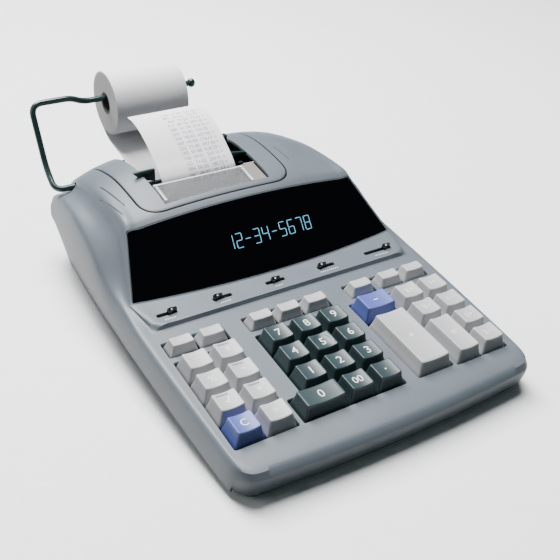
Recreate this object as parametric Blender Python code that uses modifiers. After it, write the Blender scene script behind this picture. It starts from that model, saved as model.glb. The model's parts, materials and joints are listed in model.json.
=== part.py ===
# Printing desk calculator: casing, keyboard, display, slide switches, printer and paper roll.
# Metres, +Z up. The display faces -Y. Lengths are in the drawing unit u: 19 of them make one key pitch.
from math import asin, cos, pi, radians, sin, tan

import bmesh
import bpy
from mathutils import Matrix, Vector


# Driving dimensions. The body frame starts at the front edge of the top key row's caps.
key_pitch_x = 0.0203
u = key_pitch_x / 19            # the drawing unit, 1.07 mm
paper_width = 0.057             # standard roll paper
tilt = radians(7)               # slope of the keyboard
body_origin = Vector((0.0, -83.45, 38.0)) * u   # puts the feet at z = 0 and the middle at y = 0
key_pitch_y = 17.2 * u
deck_level = -8.0 * u          # levels along the normal of the keyboard, key tops at 0
panel_level = -5.6 * u
seam_level = -25.5 * u
wall = 2.4 * u
half_width = 103.0 * u
gap = 0.3 * u
seam_gap = 1.1 * u              # shadow line between the two halves of the casing

paper_middle = -16.0 * u       # the printer sits left of the centre line
roll_radius = 22.0 * u
core_radius = 6.45 * u
rod = Vector((0.0, 220.0, 70.2)) * u
wire_radius = 2.1 * u
arm_pivot = Vector((-86.0, 187.0, 25.4)) * u

platen_axis = Vector((0.0, 141.0, 20.0)) * u
platen_radius = 6.0 * u
gear_module = 0.8 * u
platen_teeth = 20
pinion_teeth = 10

# Stations of the casing behind the panel: y in the middle, y at the side, crown z,
# hump edge x, hump edge z, hump foot x, hump foot z, wing crease z.
hump_stations = (
    (60.2, 67.4, 1.9, 94.5, 2.7, 96.2, 1.4, 0.2),
    (80.0, 84.0, 20.6, 88.3, 17.6, 92.6, 7.0, 3.0),
    (99.5, 100.0, 37.6, 82.4, 32.2, 89.2, 19.4, 9.6),
    (104.0, 104.0, 40.2, 81.6, 35.2, 88.4, 22.0, 12.0),
    (113.0, 113.0, 43.6, 81.0, 36.6, 87.8, 25.4, 16.6),
    (132.0, 132.0, 46.8, 80.6, 37.2, 87.6, 27.6, 21.8),
    (150.0, 150.0, 48.0, 80.4, 36.4, 87.4, 27.8, 24.2),
    (163.0, 163.0, 47.4, 80.2, 34.6, 87.0, 26.6, 23.6),
    (180.0, 180.0, 43.8, 79.8, 31.2, 86.4, 24.0, 21.6),
    (194.0, 194.0, 37.6, 79.0, 26.4, 85.4, 19.6, 17.8),
    (206.0, 205.0, 28.6, 77.8, 19.6, 83.8, 13.8, 12.4),
    (212.0, 210.5, 18.0, 76.6, 12.4, 82.2, 8.6, 7.8),
    (216.0, 213.8, 7.0, 75.6, 5.6, 81.0, 4.2, 3.8),
)


def body_z(y, level):
    """Height over the body frame of a plane parallel to the keyboard."""
    return y * tan(tilt) + level / cos(tilt)


def side_width(y):
    """Half width of the casing at the seam; its sides bow outwards."""
    y = y / u - 60
    fall = 2.7 * (y / 110) ** 2 if y < 0 else 8.5 * (y / 150) ** 2
    return half_width - fall * u


def front_bow(x):
    """How far the front edge falls back from its middle at x."""
    x = abs(x) / u
    corner = 9 * ((x - 88) / 10) ** 2.4 if x > 88 else 0
    return (3.6 * (x / 90) ** 2 + corner) * u


# ---------------------------------------------------------------- helpers
def clear_scene():
    for item in list(bpy.context.scene.objects):
        bpy.data.objects.remove(item, do_unlink=True)


def new_collection(name):
    group = bpy.data.collections.new(name)
    bpy.context.scene.collection.children.link(group)
    return group


def new_material(name, colour, roughness, metallic=0.0):
    made = bpy.data.materials.new(name)
    made.use_nodes = True
    shader = made.node_tree.nodes["Principled BSDF"]
    shader.inputs["Base Color"].default_value = (*colour, 1)
    shader.inputs["Roughness"].default_value = roughness
    shader.inputs["Metallic"].default_value = metallic
    made.diffuse_color = (*colour, 1)
    return made


def new_object(name, mesh, material=None, parent=None, smooth=False):
    made = bpy.data.objects.new(name, mesh)
    if material:
        parts.objects.link(made)
        mesh.materials.append(material)
    else:
        cutters.objects.link(made)
        made.hide_render = True
        made.display_type = 'WIRE'
    made.parent = parent or body_frame
    if smooth:
        mesh.shade_smooth()
        mesh.set_sharp_from_angle(angle=radians(35))
    return made


def mesh_from(shape, name):
    mesh = bpy.data.meshes.new(name)
    bmesh.ops.recalc_face_normals(shape, faces=shape.faces)
    shape.to_mesh(mesh)
    shape.free()
    return mesh


def grid_mesh(name, rows):
    """An open sheet through rows of points."""
    shape = bmesh.new()
    made = [[shape.verts.new(point) for point in row] for row in rows]
    for lower, upper in zip(made, made[1:]):
        for i in range(len(lower) - 1):
            shape.faces.new((lower[i], lower[i + 1], upper[i + 1], upper[i]))
    mesh = bpy.data.meshes.new(name)
    shape.to_mesh(mesh)
    shape.free()
    return mesh


def loft_mesh(name, rings):
    """A closed solid through rings of the same number of points."""
    shape = bmesh.new()
    made = [[shape.verts.new(point) for point in ring] for ring in rings]
    count = len(rings[0])
    for lower, upper in zip(made, made[1:]):
        for i in range(count):
            j = (i + 1) % count
            shape.faces.new((lower[i], lower[j], upper[j], upper[i]))
    shape.faces.new(made[0])
    shape.faces.new(made[-1])
    return mesh_from(shape, name)


def box_mesh(name, low, high, radius=0.0, front_only=False):
    """A box, with its upright edges rounded where a radius is given."""
    shape = bmesh.new()
    bmesh.ops.create_cube(shape, size=1)
    low, high = Vector(low), Vector(high)
    size = high - low
    bmesh.ops.scale(shape, vec=size, verts=shape.verts)
    bmesh.ops.translate(shape, vec=(low + high) / 2, verts=shape.verts)
    if radius:
        middle = (low.y + high.y) / 2
        edges = [edge for edge in shape.edges
                 if abs(edge.verts[0].co.z - edge.verts[1].co.z) > size.z / 2
                 and not (front_only and edge.verts[0].co.y > middle)]
        bmesh.ops.bevel(shape, geom=edges, offset=radius, segments=4, profile=0.5, affect='EDGES')
    return mesh_from(shape, name)


def cylinder_mesh(name, radius, length, segments=24, far_radius=None):
    """A cylinder along X, centred on its origin."""
    shape = bmesh.new()
    bmesh.ops.create_cone(shape, cap_ends=True, segments=segments, radius1=radius,
                          radius2=radius if far_radius is None else far_radius, depth=length)
    bmesh.ops.rotate(shape, matrix=Matrix.Rotation(pi / 2, 3, 'Y'), verts=shape.verts)
    return mesh_from(shape, name)


def outline_mesh(name, outline, x_low, x_high):
    """A flat outline of (y, z) points, extruded along X."""
    return loft_mesh(name, [[(x, y, z) for y, z in outline] for x in (x_low, x_high)])


def boolean(target, tool, operation='DIFFERENCE'):
    step = target.modifiers.new(operation.lower(), 'BOOLEAN')
    step.operation = operation
    step.object = tool
    step.solver = 'EXACT'


def shell(target, thickness, offset):
    step = target.modifiers.new("shell", 'SOLIDIFY')
    step.thickness = thickness
    step.offset = offset


# ---------------------------------------------------------------- casing
column_shares = (0.0, 0.37, 0.68, 0.89, 1.0)      # columns from the middle to the hump edge


def crown(share, middle, edge, y=0.0):
    """Value at a share of the half width; behind the display the top is fuller."""
    power = 2 + 2 * min(max((y / u - 100) / 50, 0), 1)
    return middle + (edge - middle) * share ** power


def station_points(station):
    """Right half of one section of the hump: middle, crown, hump side, wing, wall, seam."""
    y_mid, y_side, z_mid, x_edge, z_edge, x_foot, z_foot, z_crease = [v * u for v in station]
    points = [(x_edge * share, crown(share, y_mid, y_side), crown(share, z_mid, z_edge, y_mid))
              for share in column_shares]
    width = side_width(y_side)
    if y_side > 205 * u:
        width -= (y_side - 205 * u) * 0.35
    seam_z = body_z(y_side, seam_level)
    points.append(((x_edge * 0.45 + x_foot * 0.55), y_side, z_edge * 0.35 + z_foot * 0.65))
    points.append((x_foot + 0.6 * u, y_side, z_foot))
    points.append((width - 3.4 * u, y_side, z_crease))
    points.append((width - 1.7 * u, y_side, z_crease - 2.6 * u - (z_crease - seam_z) * 0.06))
    points.append((width - 0.5 * u, y_side, (z_crease + seam_z) / 2))
    points.append((width, y_side, seam_z))
    return points


def deck_points(y_mid, bow, front_drop, level=deck_level, edge=88.0 * u):
    """Right half of one section of the keyboard deck. front_drop is 1 at the seam."""
    edge = min(edge, 92.5 * u)
    xs = [edge * share for share in column_shares] + [92.0 * u, 94.2 * u]
    raised = [level] * 5 + [deck_level] * 2
    width = side_width(y_mid + bow * front_bow(half_width * 0.975))
    xs += [width - 3.4 * u, width - 1.7 * u, width - 0.5 * u, width]
    if front_drop:
        shrink = 0.975 + 0.025 * (1 - front_drop)
        xs = [x * shrink for x in xs]
    raised += [deck_level] * 4
    side_drop = [0] * 7 + [0.02, 0.15, 0.55, 1.0]
    points = []
    for x, top, side in zip(xs, raised, side_drop):
        drop = 1 - (1 - front_drop) * (1 - side)
        y = y_mid + bow * front_bow(x)
        level_here = top + (seam_level - top) * drop
        points.append((x, y, body_z(y, level_here)))
    return points


def casing_rows():
    panel_y = 43.4 * u
    rows = [
        deck_points(-71.8 * u, 1.0, 1.0),
        deck_points(-74.8 * u, 1.0, 0.55),
        deck_points(-75.6 * u, 0.97, 0.24),
        deck_points(-73.2 * u, 0.94, 0.07),
        deck_points(-67.4 * u, 0.88, 0.01),
        deck_points(-58.6 * u, 0.8, 0.0),
        deck_points(-20.0 * u, 0.2, 0.0),
        deck_points(20.0 * u, 0.0, 0.0),
        deck_points(panel_y, 0.0, 0.0, edge=85.0 * u),
        deck_points(panel_y + 0.9 * u, 0.0, 0.0, level=panel_level, edge=85.0 * u),
        deck_points(panel_y + 4.5 * u, 0.0, 0.0, level=panel_level, edge=90.4 * u),
    ]
    rows += [station_points(station) for station in hump_stations]
    last = rows[-1]
    rows.append([(x, y + 1.0 * u, body_z(y + 1.0 * u, seam_level)) for x, y, z in last])
    return rows


def mirrored(row):
    return [(-x, y, z) for x, y, z in reversed(row[1:])] + row


def seam_outline(inset, level):
    """The casing's outline at the seam, moved inwards, at one level."""
    rows = casing_rows()
    half = rows[0] + [row[-1] for row in rows[1:-1]] + list(reversed(rows[-1]))
    ring = []
    middle = 70 * u
    for x, y, z in half:
        y_in = y + (middle - y) / 142.0 * inset / u
        x_in = x - x / half_width * inset
        ring.append((x_in, y_in, body_z(y_in, level)))
    return ring + [(-x, y, z) for x, y, z in reversed(ring[1:-1])]


def surface_z(x, y):
    """Height of the hump's crown over the body frame at (x, y)."""
    stations = [[value * u for value in station[:5]] for station in hump_stations]
    for near, far in zip(stations, stations[1:]):
        if y <= far[0]:
            break
    share = (y - near[0]) / (far[0] - near[0])
    z_mid = near[2] + (far[2] - near[2]) * share
    z_edge = near[4] + (far[4] - near[4]) * share
    x_edge = near[3] + (far[3] - near[3]) * share
    return crown(abs(x) / x_edge, z_mid, z_edge, y)


def make_upper_casing():
    mesh = grid_mesh("upper_casing", [mirrored(row) for row in casing_rows()])
    casing = new_object("upper_casing", mesh, casing_grey, smooth=True)
    shell(casing, wall, -1)
    for cutter in make_well_cutters() + make_slot_cutters():
        boolean(casing, cutter)
    boolean(casing, lens_sheet("lens_opening", -gap, 14 * u, 0))
    boolean(casing, hatch_prism("hatch_opening", -gap))
    hole = new_object("arm_hole", cylinder_mesh("arm_hole", wire_radius + gap, 30 * u))
    hole.location = arm_pivot
    boolean(casing, hole)
    return casing


def make_bottom_casing():
    """A tapered tray: its sides tuck in below the seam down to a flat floor."""
    floor = -36.4 * u

    def low_ring(extra, level):
        outer = seam_outline(0.6 * u, seam_level)
        tucks = [min(2.2 * u + 0.22 * (z - floor), 7.0 * u) + extra for x, y, z in outer]
        moved = {tuck: seam_outline(0.6 * u + tuck, seam_level) for tuck in set(tucks)}
        return [(*moved[tuck][i][:2], level) for i, tuck in enumerate(tucks)]

    top = seam_outline(0.6 * u, seam_level - seam_gap)
    edge = [(x, y, max(z, floor + 0.5 * u)) for x, y, z in seam_outline(1.0 * u, seam_level - 1.6 * u)]
    inner_top = seam_outline(3.0 * u, seam_level - seam_gap)
    inner_floor = [(x, y, min(z, rim[2] - 0.05 * u)) for (x, y, z), rim
                   in zip(low_ring(2.2 * u, floor + 1.8 * u), inner_top)]
    rings = [low_ring(0, floor), edge, top, inner_top, inner_floor]
    new_object("bottom_casing", loft_mesh("bottom_casing", rings), casing_light)


def make_feet():
    for name, y in (("front_foot_strip", -48 * u), ("rear_foot_strip", 186 * u)):
        mesh = box_mesh(name, (-62 * u, y, -38.0 * u), (62 * u, y + 9 * u, -36.4 * u - gap), 3 * u)
        new_object(name, mesh, rubber_black)


# ---------------------------------------------------------------- keyboard
small_cap = {"base": (17.5, 11.0), "top": (12.4, 6.6), "height": -2.4}
square_cap = {"base": (18.0, 16.4), "top": (13.0, 12.0), "height": 0.0}
wide_cap = {"base": (28.4, 16.4), "top": (23.4, 12.0), "height": 0.0}
tall_cap = {"base": (18.0, 33.6), "top": (13.0, 29.2), "height": 0.0}
minus_cap = {"base": (24.0, 17.4), "top": (19.0, 13.0), "height": 0.0}
plus_cap = {"base": (24.0, 49.0), "top": (19.0, 44.4), "height": 0.0}

left_x = (-82.6 * u, -63.6 * u)
middle_x = (-31.1 * u, -12.1 * u, 6.9 * u)
right_x = (62.4 * u, 81.4 * u)
wide_x = 38.0 * u
row_y = [6.0 * u - i * key_pitch_y for i in range(4)]
small_y = 25.6 * u


def octagon(size, level, chamfer):
    half_x, half_y = size[0] / 2 * u, size[1] / 2 * u
    cut = chamfer * u
    corners = []
    for sx, sy in ((1, 1), (-1, 1), (-1, -1), (1, -1)):
        pair = [(sx * half_x, sy * (half_y - cut)), (sx * (half_x - cut), sy * half_y)]
        corners += pair if sx == sy else reversed(pair)
    return [(x, y, level) for x, y in corners]


def cap_mesh(name, cap):
    """A key: stem, skirt, sloping sides and a slightly hollow top."""
    top = cap["height"] * u
    width, depth = cap["top"]
    rings = [octagon((6, 5), -15.0 * u, 0.5),
             octagon((6, 5), -11.0 * u, 0.5),
             octagon(cap["base"], -11.0 * u, 1.0),
             octagon((cap["base"][0] - 0.3, cap["base"][1] - 0.3), -9.4 * u, 1.0),
             octagon((width + 0.6, depth + 0.6), top - 0.7 * u, 1.6),
             octagon((width - 0.8, depth - 0.8), top, 1.4),
             octagon((width * 0.5, depth * 0.5), top - 0.5 * u, 0.8)]
    return loft_mesh(name, rings)


def key_plan():
    """Name, cap, x, y and material of each key."""
    plan = []
    for side, x in zip(("a", "b"), left_x):
        plan.append((f"left_small_{side}", small_cap, x, small_y, key_light))
        for i, y in enumerate(row_y):
            blue = side == "a" and i == 3
            plan.append((f"left_{side}{i + 1}", square_cap, x, y, key_blue if blue else key_light))
    for i, x in enumerate(middle_x):
        plan.append((f"middle_small_{i + 1}", small_cap, x, small_y, key_light))
        for j, y in enumerate(row_y[:3]):
            plan.append((f"digit_{7 + i - 3 * j}", square_cap, x, y, key_dark))
    plan.append(("digit_0", wide_cap, -35.9 * u, row_y[3], key_dark))
    plan.append(("digit_00", square_cap, middle_x[1], row_y[3], key_dark))
    plan.append(("decimal_point", square_cap, middle_x[2], row_y[3], key_dark))
    plan.append(("right_small_1", small_cap, wide_x + 2.6 * u, small_y, key_light))
    for i, x in enumerate(right_x):
        plan.append((f"right_small_{i + 2}", small_cap, x, small_y, key_light))
    plan.append(("minus", minus_cap, wide_x, 6.2 * u, key_blue))
    plan.append(("plus", plus_cap, wide_x, -29.3 * u, key_light))
    for i in range(2):
        plan.append((f"right_b{i + 1}", square_cap, right_x[0], row_y[i] - 1.2 * u, key_light))
    plan.append(("total", tall_cap, right_x[0], (row_y[2] + row_y[3]) / 2 - 1.2 * u, key_light))
    for i in range(4):
        plan.append((f"right_c{i + 1}", square_cap, right_x[1], row_y[i] - 1.2 * u, key_light))
    return plan


def make_keys():
    for name, cap, x, y, material in key_plan():
        node = f"key_{name}"
        key = new_object(node, cap_mesh(node, cap), material, keyboard_frame)
        key.location = (x, y, 0)


def well_prism(name, outline):
    mesh = loft_mesh(name, [[(x, y, z) for x, y in outline] for z in (-14 * u, 2 * u)])
    return new_object(name, mesh, parent=keyboard_frame)


def well_box(name, x_low, x_high, y_low, y_high):
    return well_prism(name, [(x_low, y_low), (x_high, y_low), (x_high, y_high), (x_low, y_high)])


def make_well_cutters():
    """One opening in the deck for each block of keys."""
    ease = 0.9 * u
    half_x, half_y = 9.0 * u + ease, 8.2 * u + ease
    small_low, small_high = small_y - 5.5 * u - ease, small_y + 5.5 * u + ease
    front, rear = row_y[3] - half_y, row_y[0] + half_y
    wide = 12.0 * u + ease
    step = row_y[3] + half_y
    zero_left = -35.9 * u - 14.2 * u - ease
    middle = [(zero_left, front), (middle_x[2] + half_x, front), (middle_x[2] + half_x, rear),
              (middle_x[0] - half_x, rear), (middle_x[0] - half_x, step), (zero_left, step)]
    return [
        well_box("well_left_small", left_x[0] - half_x, left_x[1] + half_x, small_low, small_high),
        well_box("well_left", left_x[0] - half_x, left_x[1] + half_x, front, rear),
        well_box("well_middle_small", middle_x[0] - half_x, middle_x[2] + half_x, small_low, small_high),
        well_prism("well_middle", middle),
        well_box("well_right_small_1", wide_x + 2.6 * u - half_x, wide_x + 2.6 * u + half_x,
                 small_low, small_high),
        well_box("well_right_small_2", right_x[0] - half_x, right_x[1] + half_x, small_low, small_high),
        well_box("well_wide", wide_x - wide, wide_x + wide, -29.3 * u - 24.5 * u - ease, rear),
        well_box("well_right", right_x[0] - half_x, right_x[1] + half_x,
                 front - 1.2 * u, rear - 1.2 * u),
    ]


# ---------------------------------------------------------------- slide switches
switch_y = 52.0 * u
# name, slot centre x, slot length, knob centre x
switches = (("switch_power", -78.8, 13.0, -75.6), ("switch_mode", -42.3, 13.0, -45.5),
            ("switch_rounding", -5.2, 13.6, -5.2), ("switch_rate", 32.5, 13.0, 29.3),
            ("switch_decimals", 73.7, 21.5, 80.4))


def make_slot_cutters():
    made = []
    for name, x, length, knob in switches:
        width = 2.6 * u
        low = ((x - length / 2) * u, switch_y - width / 2, panel_level - 8 * u)
        high = ((x + length / 2) * u, switch_y + width / 2, panel_level + 3 * u)
        slot = new_object(f"{name}_slot", box_mesh(f"{name}_slot", low, high, 0.8 * u),
                          parent=keyboard_frame)
        made.append(slot)
    return made


def make_switches():
    """Each knob is a saddle over the panel with a shank through its slot."""
    for name, x, length, knob in switches:
        top, size = panel_level + 3.2 * u, (6.6, 4.8)
        rings = [octagon((4.4, 1.8), panel_level - 5.0 * u, 0.3),
                 octagon((4.4, 1.8), panel_level + gap, 0.3),
                 octagon(size, panel_level + gap, 1.2),
                 octagon(size, top - 1.0 * u, 1.2),
                 octagon((5.0, 3.4), top, 0.9)]
        made = new_object(name, loft_mesh(name, rings), gloss_black, keyboard_frame)
        made.location = (knob * u, switch_y, 0)


# ---------------------------------------------------------------- display
def lens_sheet(name, inset, thickness, offset, material=None):
    """The display's slope between the panel and the brow, as a curved plate."""
    low, middle, high = hump_stations[:3]
    margin = (1.4 * u + inset) / (50 * u)
    rows = []
    for share in (margin, 0.25, 0.5, 0.75, 1 - margin):
        near, far, part = (low, middle, share * 2) if share < 0.5 else (middle, high, share * 2 - 1)
        y_mid, y_side, z_mid, x_edge, z_edge = [(a + (b - a) * part) * u
                                                for a, b in zip(near[:5], far[:5])]
        half = x_edge - 1.4 * u - inset
        rows.append([(half * side * part_x, crown(part_x, y_mid, y_side), crown(part_x, z_mid, z_edge))
                     for side, part_x in [(-1, s) for s in reversed(column_shares[1:])]
                     + [(1, s) for s in column_shares]])
    made = new_object(name, grid_mesh(name, rows), material)
    shell(made, thickness, offset)
    return made


def make_display():
    lens_sheet("display_window", 0.0, 2.0 * u, -1, gloss_black)
    slope = asin(0.66)
    mesh = box_mesh("display_tube", (-62 * u, -13 * u, -3.5 * u), (62 * u, 13 * u, 3.5 * u))
    tube = new_object("display_tube", mesh, dark_glass)
    tube.location = (0, 86 * u, 11 * u)
    tube.rotation_euler = (slope, 0, 0)


# ---------------------------------------------------------------- printer
hatch_x = (-67.0 * u, 39.0 * u)
hatch_y = (104.0 * u, 205.0 * u)
mouth_x = (-51.5 * u, 23.5 * u)
mouth_y = 108.5 * u
# Corners (x, z) of the guide wings that stand on the cover's arms beside the paper.
left_wing = ((-43.3, 40.4), (-43.3, 48.9), (-59.0, 48.9), (-54.5, 44.4), (-50.0, 42.0))
right_wing = ((11.3, 40.4), (18.5, 40.4), (19.2, 44.8), (24.8, 45.3), (24.8, 46.8),
              (19.2, 47.8), (11.3, 48.9))


def front_corners(inset):
    """The hatch outline from its rear left, round both front corners, to its rear right."""
    x_low, x_high = hatch_x[0] + inset, hatch_x[1] - inset
    y_low, y_high = hatch_y[0] + inset, hatch_y[1] - inset
    corners = [(x_low, y_high, 0), (x_low, y_low, 0), (x_high, y_low, 0), (x_high, y_high, 0)]
    return rounded_path(corners, 14 * u, 5)


def upright_prism(name, outline):
    return new_object(name, loft_mesh(name, [[(p.x, p.y, z) for p in outline] for z in (8 * u, 70 * u)]))


def hatch_prism(name, inset):
    return upright_prism(name, front_corners(inset))


def make_printer_cover():
    xs = [hatch_x[0] - 4 * u + i * (hatch_x[1] - hatch_x[0] + 8 * u) / 10 for i in range(11)]
    ys = [value * u for value in (101.5, 106, 113, 122, 132, 146, 160, 181, 200, 208)]
    rows = [[(x, y, surface_z(x, y)) for x in xs] for y in ys]
    cover = new_object("printer_cover", grid_mesh("printer_cover", rows), casing_grey, smooth=True)
    shell(cover, 2.0 * u, -1)
    rear = hatch_y[1] - gap
    mouth = [(mouth_x[1], rear, 0), (mouth_x[1], mouth_y, 0), (mouth_x[0], mouth_y, 0),
             (mouth_x[0], rear, 0)]
    outline = front_corners(gap) + rounded_path(mouth, 1 * u, 2)
    cover.modifiers.new("flat", 'TRIANGULATE')      # the twisted quads cut badly
    boolean(cover, upright_prism("cover_outline", outline), 'INTERSECT')
    for name, corners in (("left_wing", left_wing), ("right_wing", right_wing)):
        rings = [[(x * u, y, z * u) for x, z in corners] for y in (140.2 * u, 142.2 * u)]
        boolean(cover, new_object(name, loft_mesh(name, rings)), 'UNION')


def make_tear_bar():
    """A clear plate over the mouth with a saw edge towards the paper."""
    teeth = 36
    x_low, x_high = mouth_x[0] + 0.8 * u, 12.6 * u
    outline = [(x_high, 0.0), (x_low, 0.0)]
    for i in range(teeth + 1):
        x = x_low + (x_high - x_low) * i / teeth
        outline.append((x, 19.0 * u))
        if i < teeth:
            outline.append((x + (x_high - x_low) / teeth / 2, 20.0 * u))
    rings = [[(x, y, z) for x, y in outline] for z in (-1.2 * u, 0)]
    bar = new_object("tear_bar", loft_mesh("tear_bar", rings), clear_plastic)
    bar.location = (0, mouth_y + 0.6 * u, 40.4 * u)
    bar.rotation_euler = (radians(10), 0, 0)


def make_printer_frame():
    """Two side plates, a floor, the upright paper guide and a rear post, as one moulding."""
    x_low, x_high = -50.8 * u, 22.6 * u
    plate = 2.4 * u
    side = [(116, -6), (196, -6), (196, 8), (168, 22), (150, 34), (132, 36), (116, 30)]
    side = [(y * u, z * u) for y, z in side]
    frame = new_object("printer_frame", outline_mesh("printer_frame", side, x_low, x_low + plate),
                       gloss_dark)
    other = new_object("frame_side", outline_mesh("frame_side", side, x_high - plate, x_high))
    boolean(frame, other, 'UNION')
    floor = box_mesh("frame_floor", (x_low + 1 * u, 118 * u, -5 * u),
                     (x_high - 1 * u, 194 * u, -2.5 * u))
    boolean(frame, new_object("frame_floor", floor), 'UNION')
    guide = box_mesh("frame_guide", (x_low + 1 * u, 140.2 * u, 31 * u),
                     (x_high - 1 * u, 142.2 * u, 40 * u))
    boolean(frame, new_object("frame_guide", guide), 'UNION')
    post = box_mesh("frame_post", (14 * u, 163 * u, 12 * u), (x_high - 1 * u, 167 * u, 51 * u))
    boolean(frame, new_object("frame_post", post), 'UNION')
    bores = new_object("platen_bore", cylinder_mesh("platen_bore", 2.4 * u, 0.16))
    bores.location = platen_axis
    boolean(frame, bores)


def gear_outline(teeth):
    """Points (y, z) of a straight-sided gear a little thinner than its pitch."""
    radius = teeth * gear_module / 2
    points = []
    for i in range(teeth):
        for share, reach in ((-0.30, -1.15), (-0.12, 0.8), (0.12, 0.8), (0.30, -1.15)):
            angle = 2 * pi * (i + share) / teeth
            distance = radius + reach * gear_module
            points.append((distance * cos(angle), distance * sin(angle)))
    return points


def make_platen():
    """Rubber platen with its shaft and feed gear, turning together."""
    half = paper_width / 2 + 4 * u
    middle = paper_middle
    profile = [(-44, 0), (-44, 1.9), (-half / u, 1.9), (-half / u, 6.0), (half / u, 6.0),
               (half / u, 1.9), (46, 1.9), (46, 0)]
    shape = bmesh.new()
    chain = [shape.verts.new((x * u, r * u, 0)) for x, r in profile]
    for a, b in zip(chain, chain[1:]):
        shape.edges.new((a, b))
    bmesh.ops.spin(shape, geom=shape.verts[:] + shape.edges[:], cent=(0, 0, 0), axis=(1, 0, 0),
                   angle=2 * pi, steps=24, use_merge=True)
    bmesh.ops.remove_doubles(shape, verts=shape.verts, dist=0.00001)
    platen = new_object("platen_roller", mesh_from(shape, "platen_roller"), rubber_black, smooth=True)
    platen.location = platen_axis + Vector((middle, 0, 0))
    gear = new_object("platen_gear_blank", outline_mesh("platen_gear_blank", gear_outline(platen_teeth),
                                                        40 * u, 44 * u))
    gear.location = platen.location
    boolean(platen, gear, 'UNION')


def make_feed_motor():
    distance = (platen_teeth + pinion_teeth) * gear_module / 2
    bearing = radians(-63)      # towards a gap between two teeth of the platen's gear
    centre = platen_axis + Vector((0, distance * cos(bearing), distance * sin(bearing)))
    gear = new_object("motor_pinion", outline_mesh("motor_pinion", gear_outline(pinion_teeth),
                                                   -2 * u, 2 * u), brass)
    bore = new_object("pinion_bore", cylinder_mesh("pinion_bore", 1.3 * u, 10 * u, 12))
    boolean(gear, bore)
    gear.location = (paper_middle + 42 * u, centre.y, centre.z)
    bore.location = gear.location
    gear.rotation_euler = (bearing + pi, 0, 0)
    motor = new_object("feed_motor", cylinder_mesh("feed_motor", 9 * u, 22 * u), steel, smooth=True)
    motor.location = (gear.location.x + 2 * u + 1.5 * u + 11 * u, centre.y, centre.z)
    shaft = new_object("motor_shaft", cylinder_mesh("motor_shaft", 1.0 * u, 6 * u, 12))
    shaft.location = (gear.location.x + 1.5 * u, centre.y, centre.z)
    boolean(motor, shaft, 'UNION')


def make_ink_roller():
    mesh = cylinder_mesh("ink_roller", 5.5 * u, 40 * u)
    roller = new_object("ink_roller", mesh, ink_purple, smooth=True)
    roller.location = (paper_middle, 122 * u, 17 * u)


def make_circuit_parts():
    mat = box_mesh("key_mat", (-92 * u, -58 * u, -20.9 * u), (91 * u, 34 * u, -19.4 * u), 3 * u)
    new_object("key_mat", mat, rubber_black, keyboard_frame)
    board = box_mesh("main_board", (-92 * u, -58 * u, -23.1 * u), (91 * u, 62 * u, -21.3 * u))
    new_object("main_board", board, board_green, keyboard_frame)


# ---------------------------------------------------------------- paper and its arm
def arc_points(centre, radius, start, end, count):
    """Points (y, z) on an arc, angles in degrees from +Y towards +Z."""
    made = []
    for i in range(count + 1):
        angle = radians(start + (end - start) * i / count)
        made.append((centre[0] + radius * cos(angle), centre[1] + radius * sin(angle)))
    return made


def rounded_path(corners, radius, count=4):
    """A path through corners, each turned by a few short chords."""
    made = [Vector(corners[0])]
    for before, corner, after in zip(corners, corners[1:], corners[2:]):
        before, corner, after = Vector(before), Vector(corner), Vector(after)
        reach = min(radius, (corner - before).length / 2.1, (after - corner).length / 2.1)
        start = corner + (before - corner).normalized() * reach
        end = corner + (after - corner).normalized() * reach
        for i in range(count + 1):
            share = i / count
            made.append(start * (1 - share) ** 2 + corner * 2 * share * (1 - share) + end * share ** 2)
    made.append(Vector(corners[-1]))
    return made


def make_paper_arm():
    """A bent wire: pivot in the casing's side, leg, jog, and the rod under the roll."""
    lift = 3.9 * u
    leg_x = -95.4 * u
    corners = [
        (arm_pivot.x + 4 * u, arm_pivot.y, arm_pivot.z),
        (leg_x, arm_pivot.y, arm_pivot.z),
        (leg_x, arm_pivot.y + 14 * u, arm_pivot.z + 10 * u),
        (leg_x, rod.y, rod.z + lift),
        (-68.0 * u, rod.y, rod.z + lift),
        (-59.0 * u, rod.y, rod.z),
        (20.6 * u, rod.y, rod.z),
    ]
    points = rounded_path([Vector(c) - arm_pivot for c in corners], 8 * u)
    sizes = [1.0] * len(points)
    end = points[-1]
    for i in range(7):
        angle = radians(-62 + 152 * i / 6)
        points.append(end + Vector((3.0 * u * (sin(angle) + 0.85), 0, 0)))
        sizes.append(max(0.12, cos(angle) * 3.3 * u / wire_radius))
    curve = bpy.data.curves.new("paper_arm", 'CURVE')
    curve.dimensions = '3D'
    curve.bevel_depth = wire_radius
    curve.bevel_resolution = 2
    curve.use_fill_caps = True
    line = curve.splines.new('POLY')
    line.points.add(len(points) - 1)
    for place, point, size in zip(line.points, points, sizes):
        place.co = (*point, 1)
        place.radius = size
    arm = bpy.data.objects.new("paper_arm", curve)
    parts.objects.link(arm)
    curve.materials.append(arm_green)
    arm.parent = body_frame
    arm.location = arm_pivot


def make_paper_roll():
    """The roll hangs on the rod, so its axis is lower than the rod's."""
    middle = paper_middle - 0.5 * u
    half = paper_width / 2
    profile = [(half, core_radius), (half, roll_radius), (-half, roll_radius), (-half, core_radius)]
    shape = bmesh.new()
    chain = [shape.verts.new((x, 0, r)) for x, r in profile]
    for a, b in zip(chain, chain[1:] + chain[:1]):
        shape.edges.new((a, b))
    bmesh.ops.spin(shape, geom=shape.verts[:] + shape.edges[:], cent=(0, 0, 0), axis=(1, 0, 0),
                   angle=2 * pi, steps=40, use_merge=True)
    bmesh.ops.remove_doubles(shape, verts=shape.verts, dist=0.00001)
    roll = new_object("paper_roll", mesh_from(shape, "paper_roll"), paper_white, smooth=True)
    roll.location = (middle, rod.y, rod.z - core_radius + wire_radius + gap)


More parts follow.
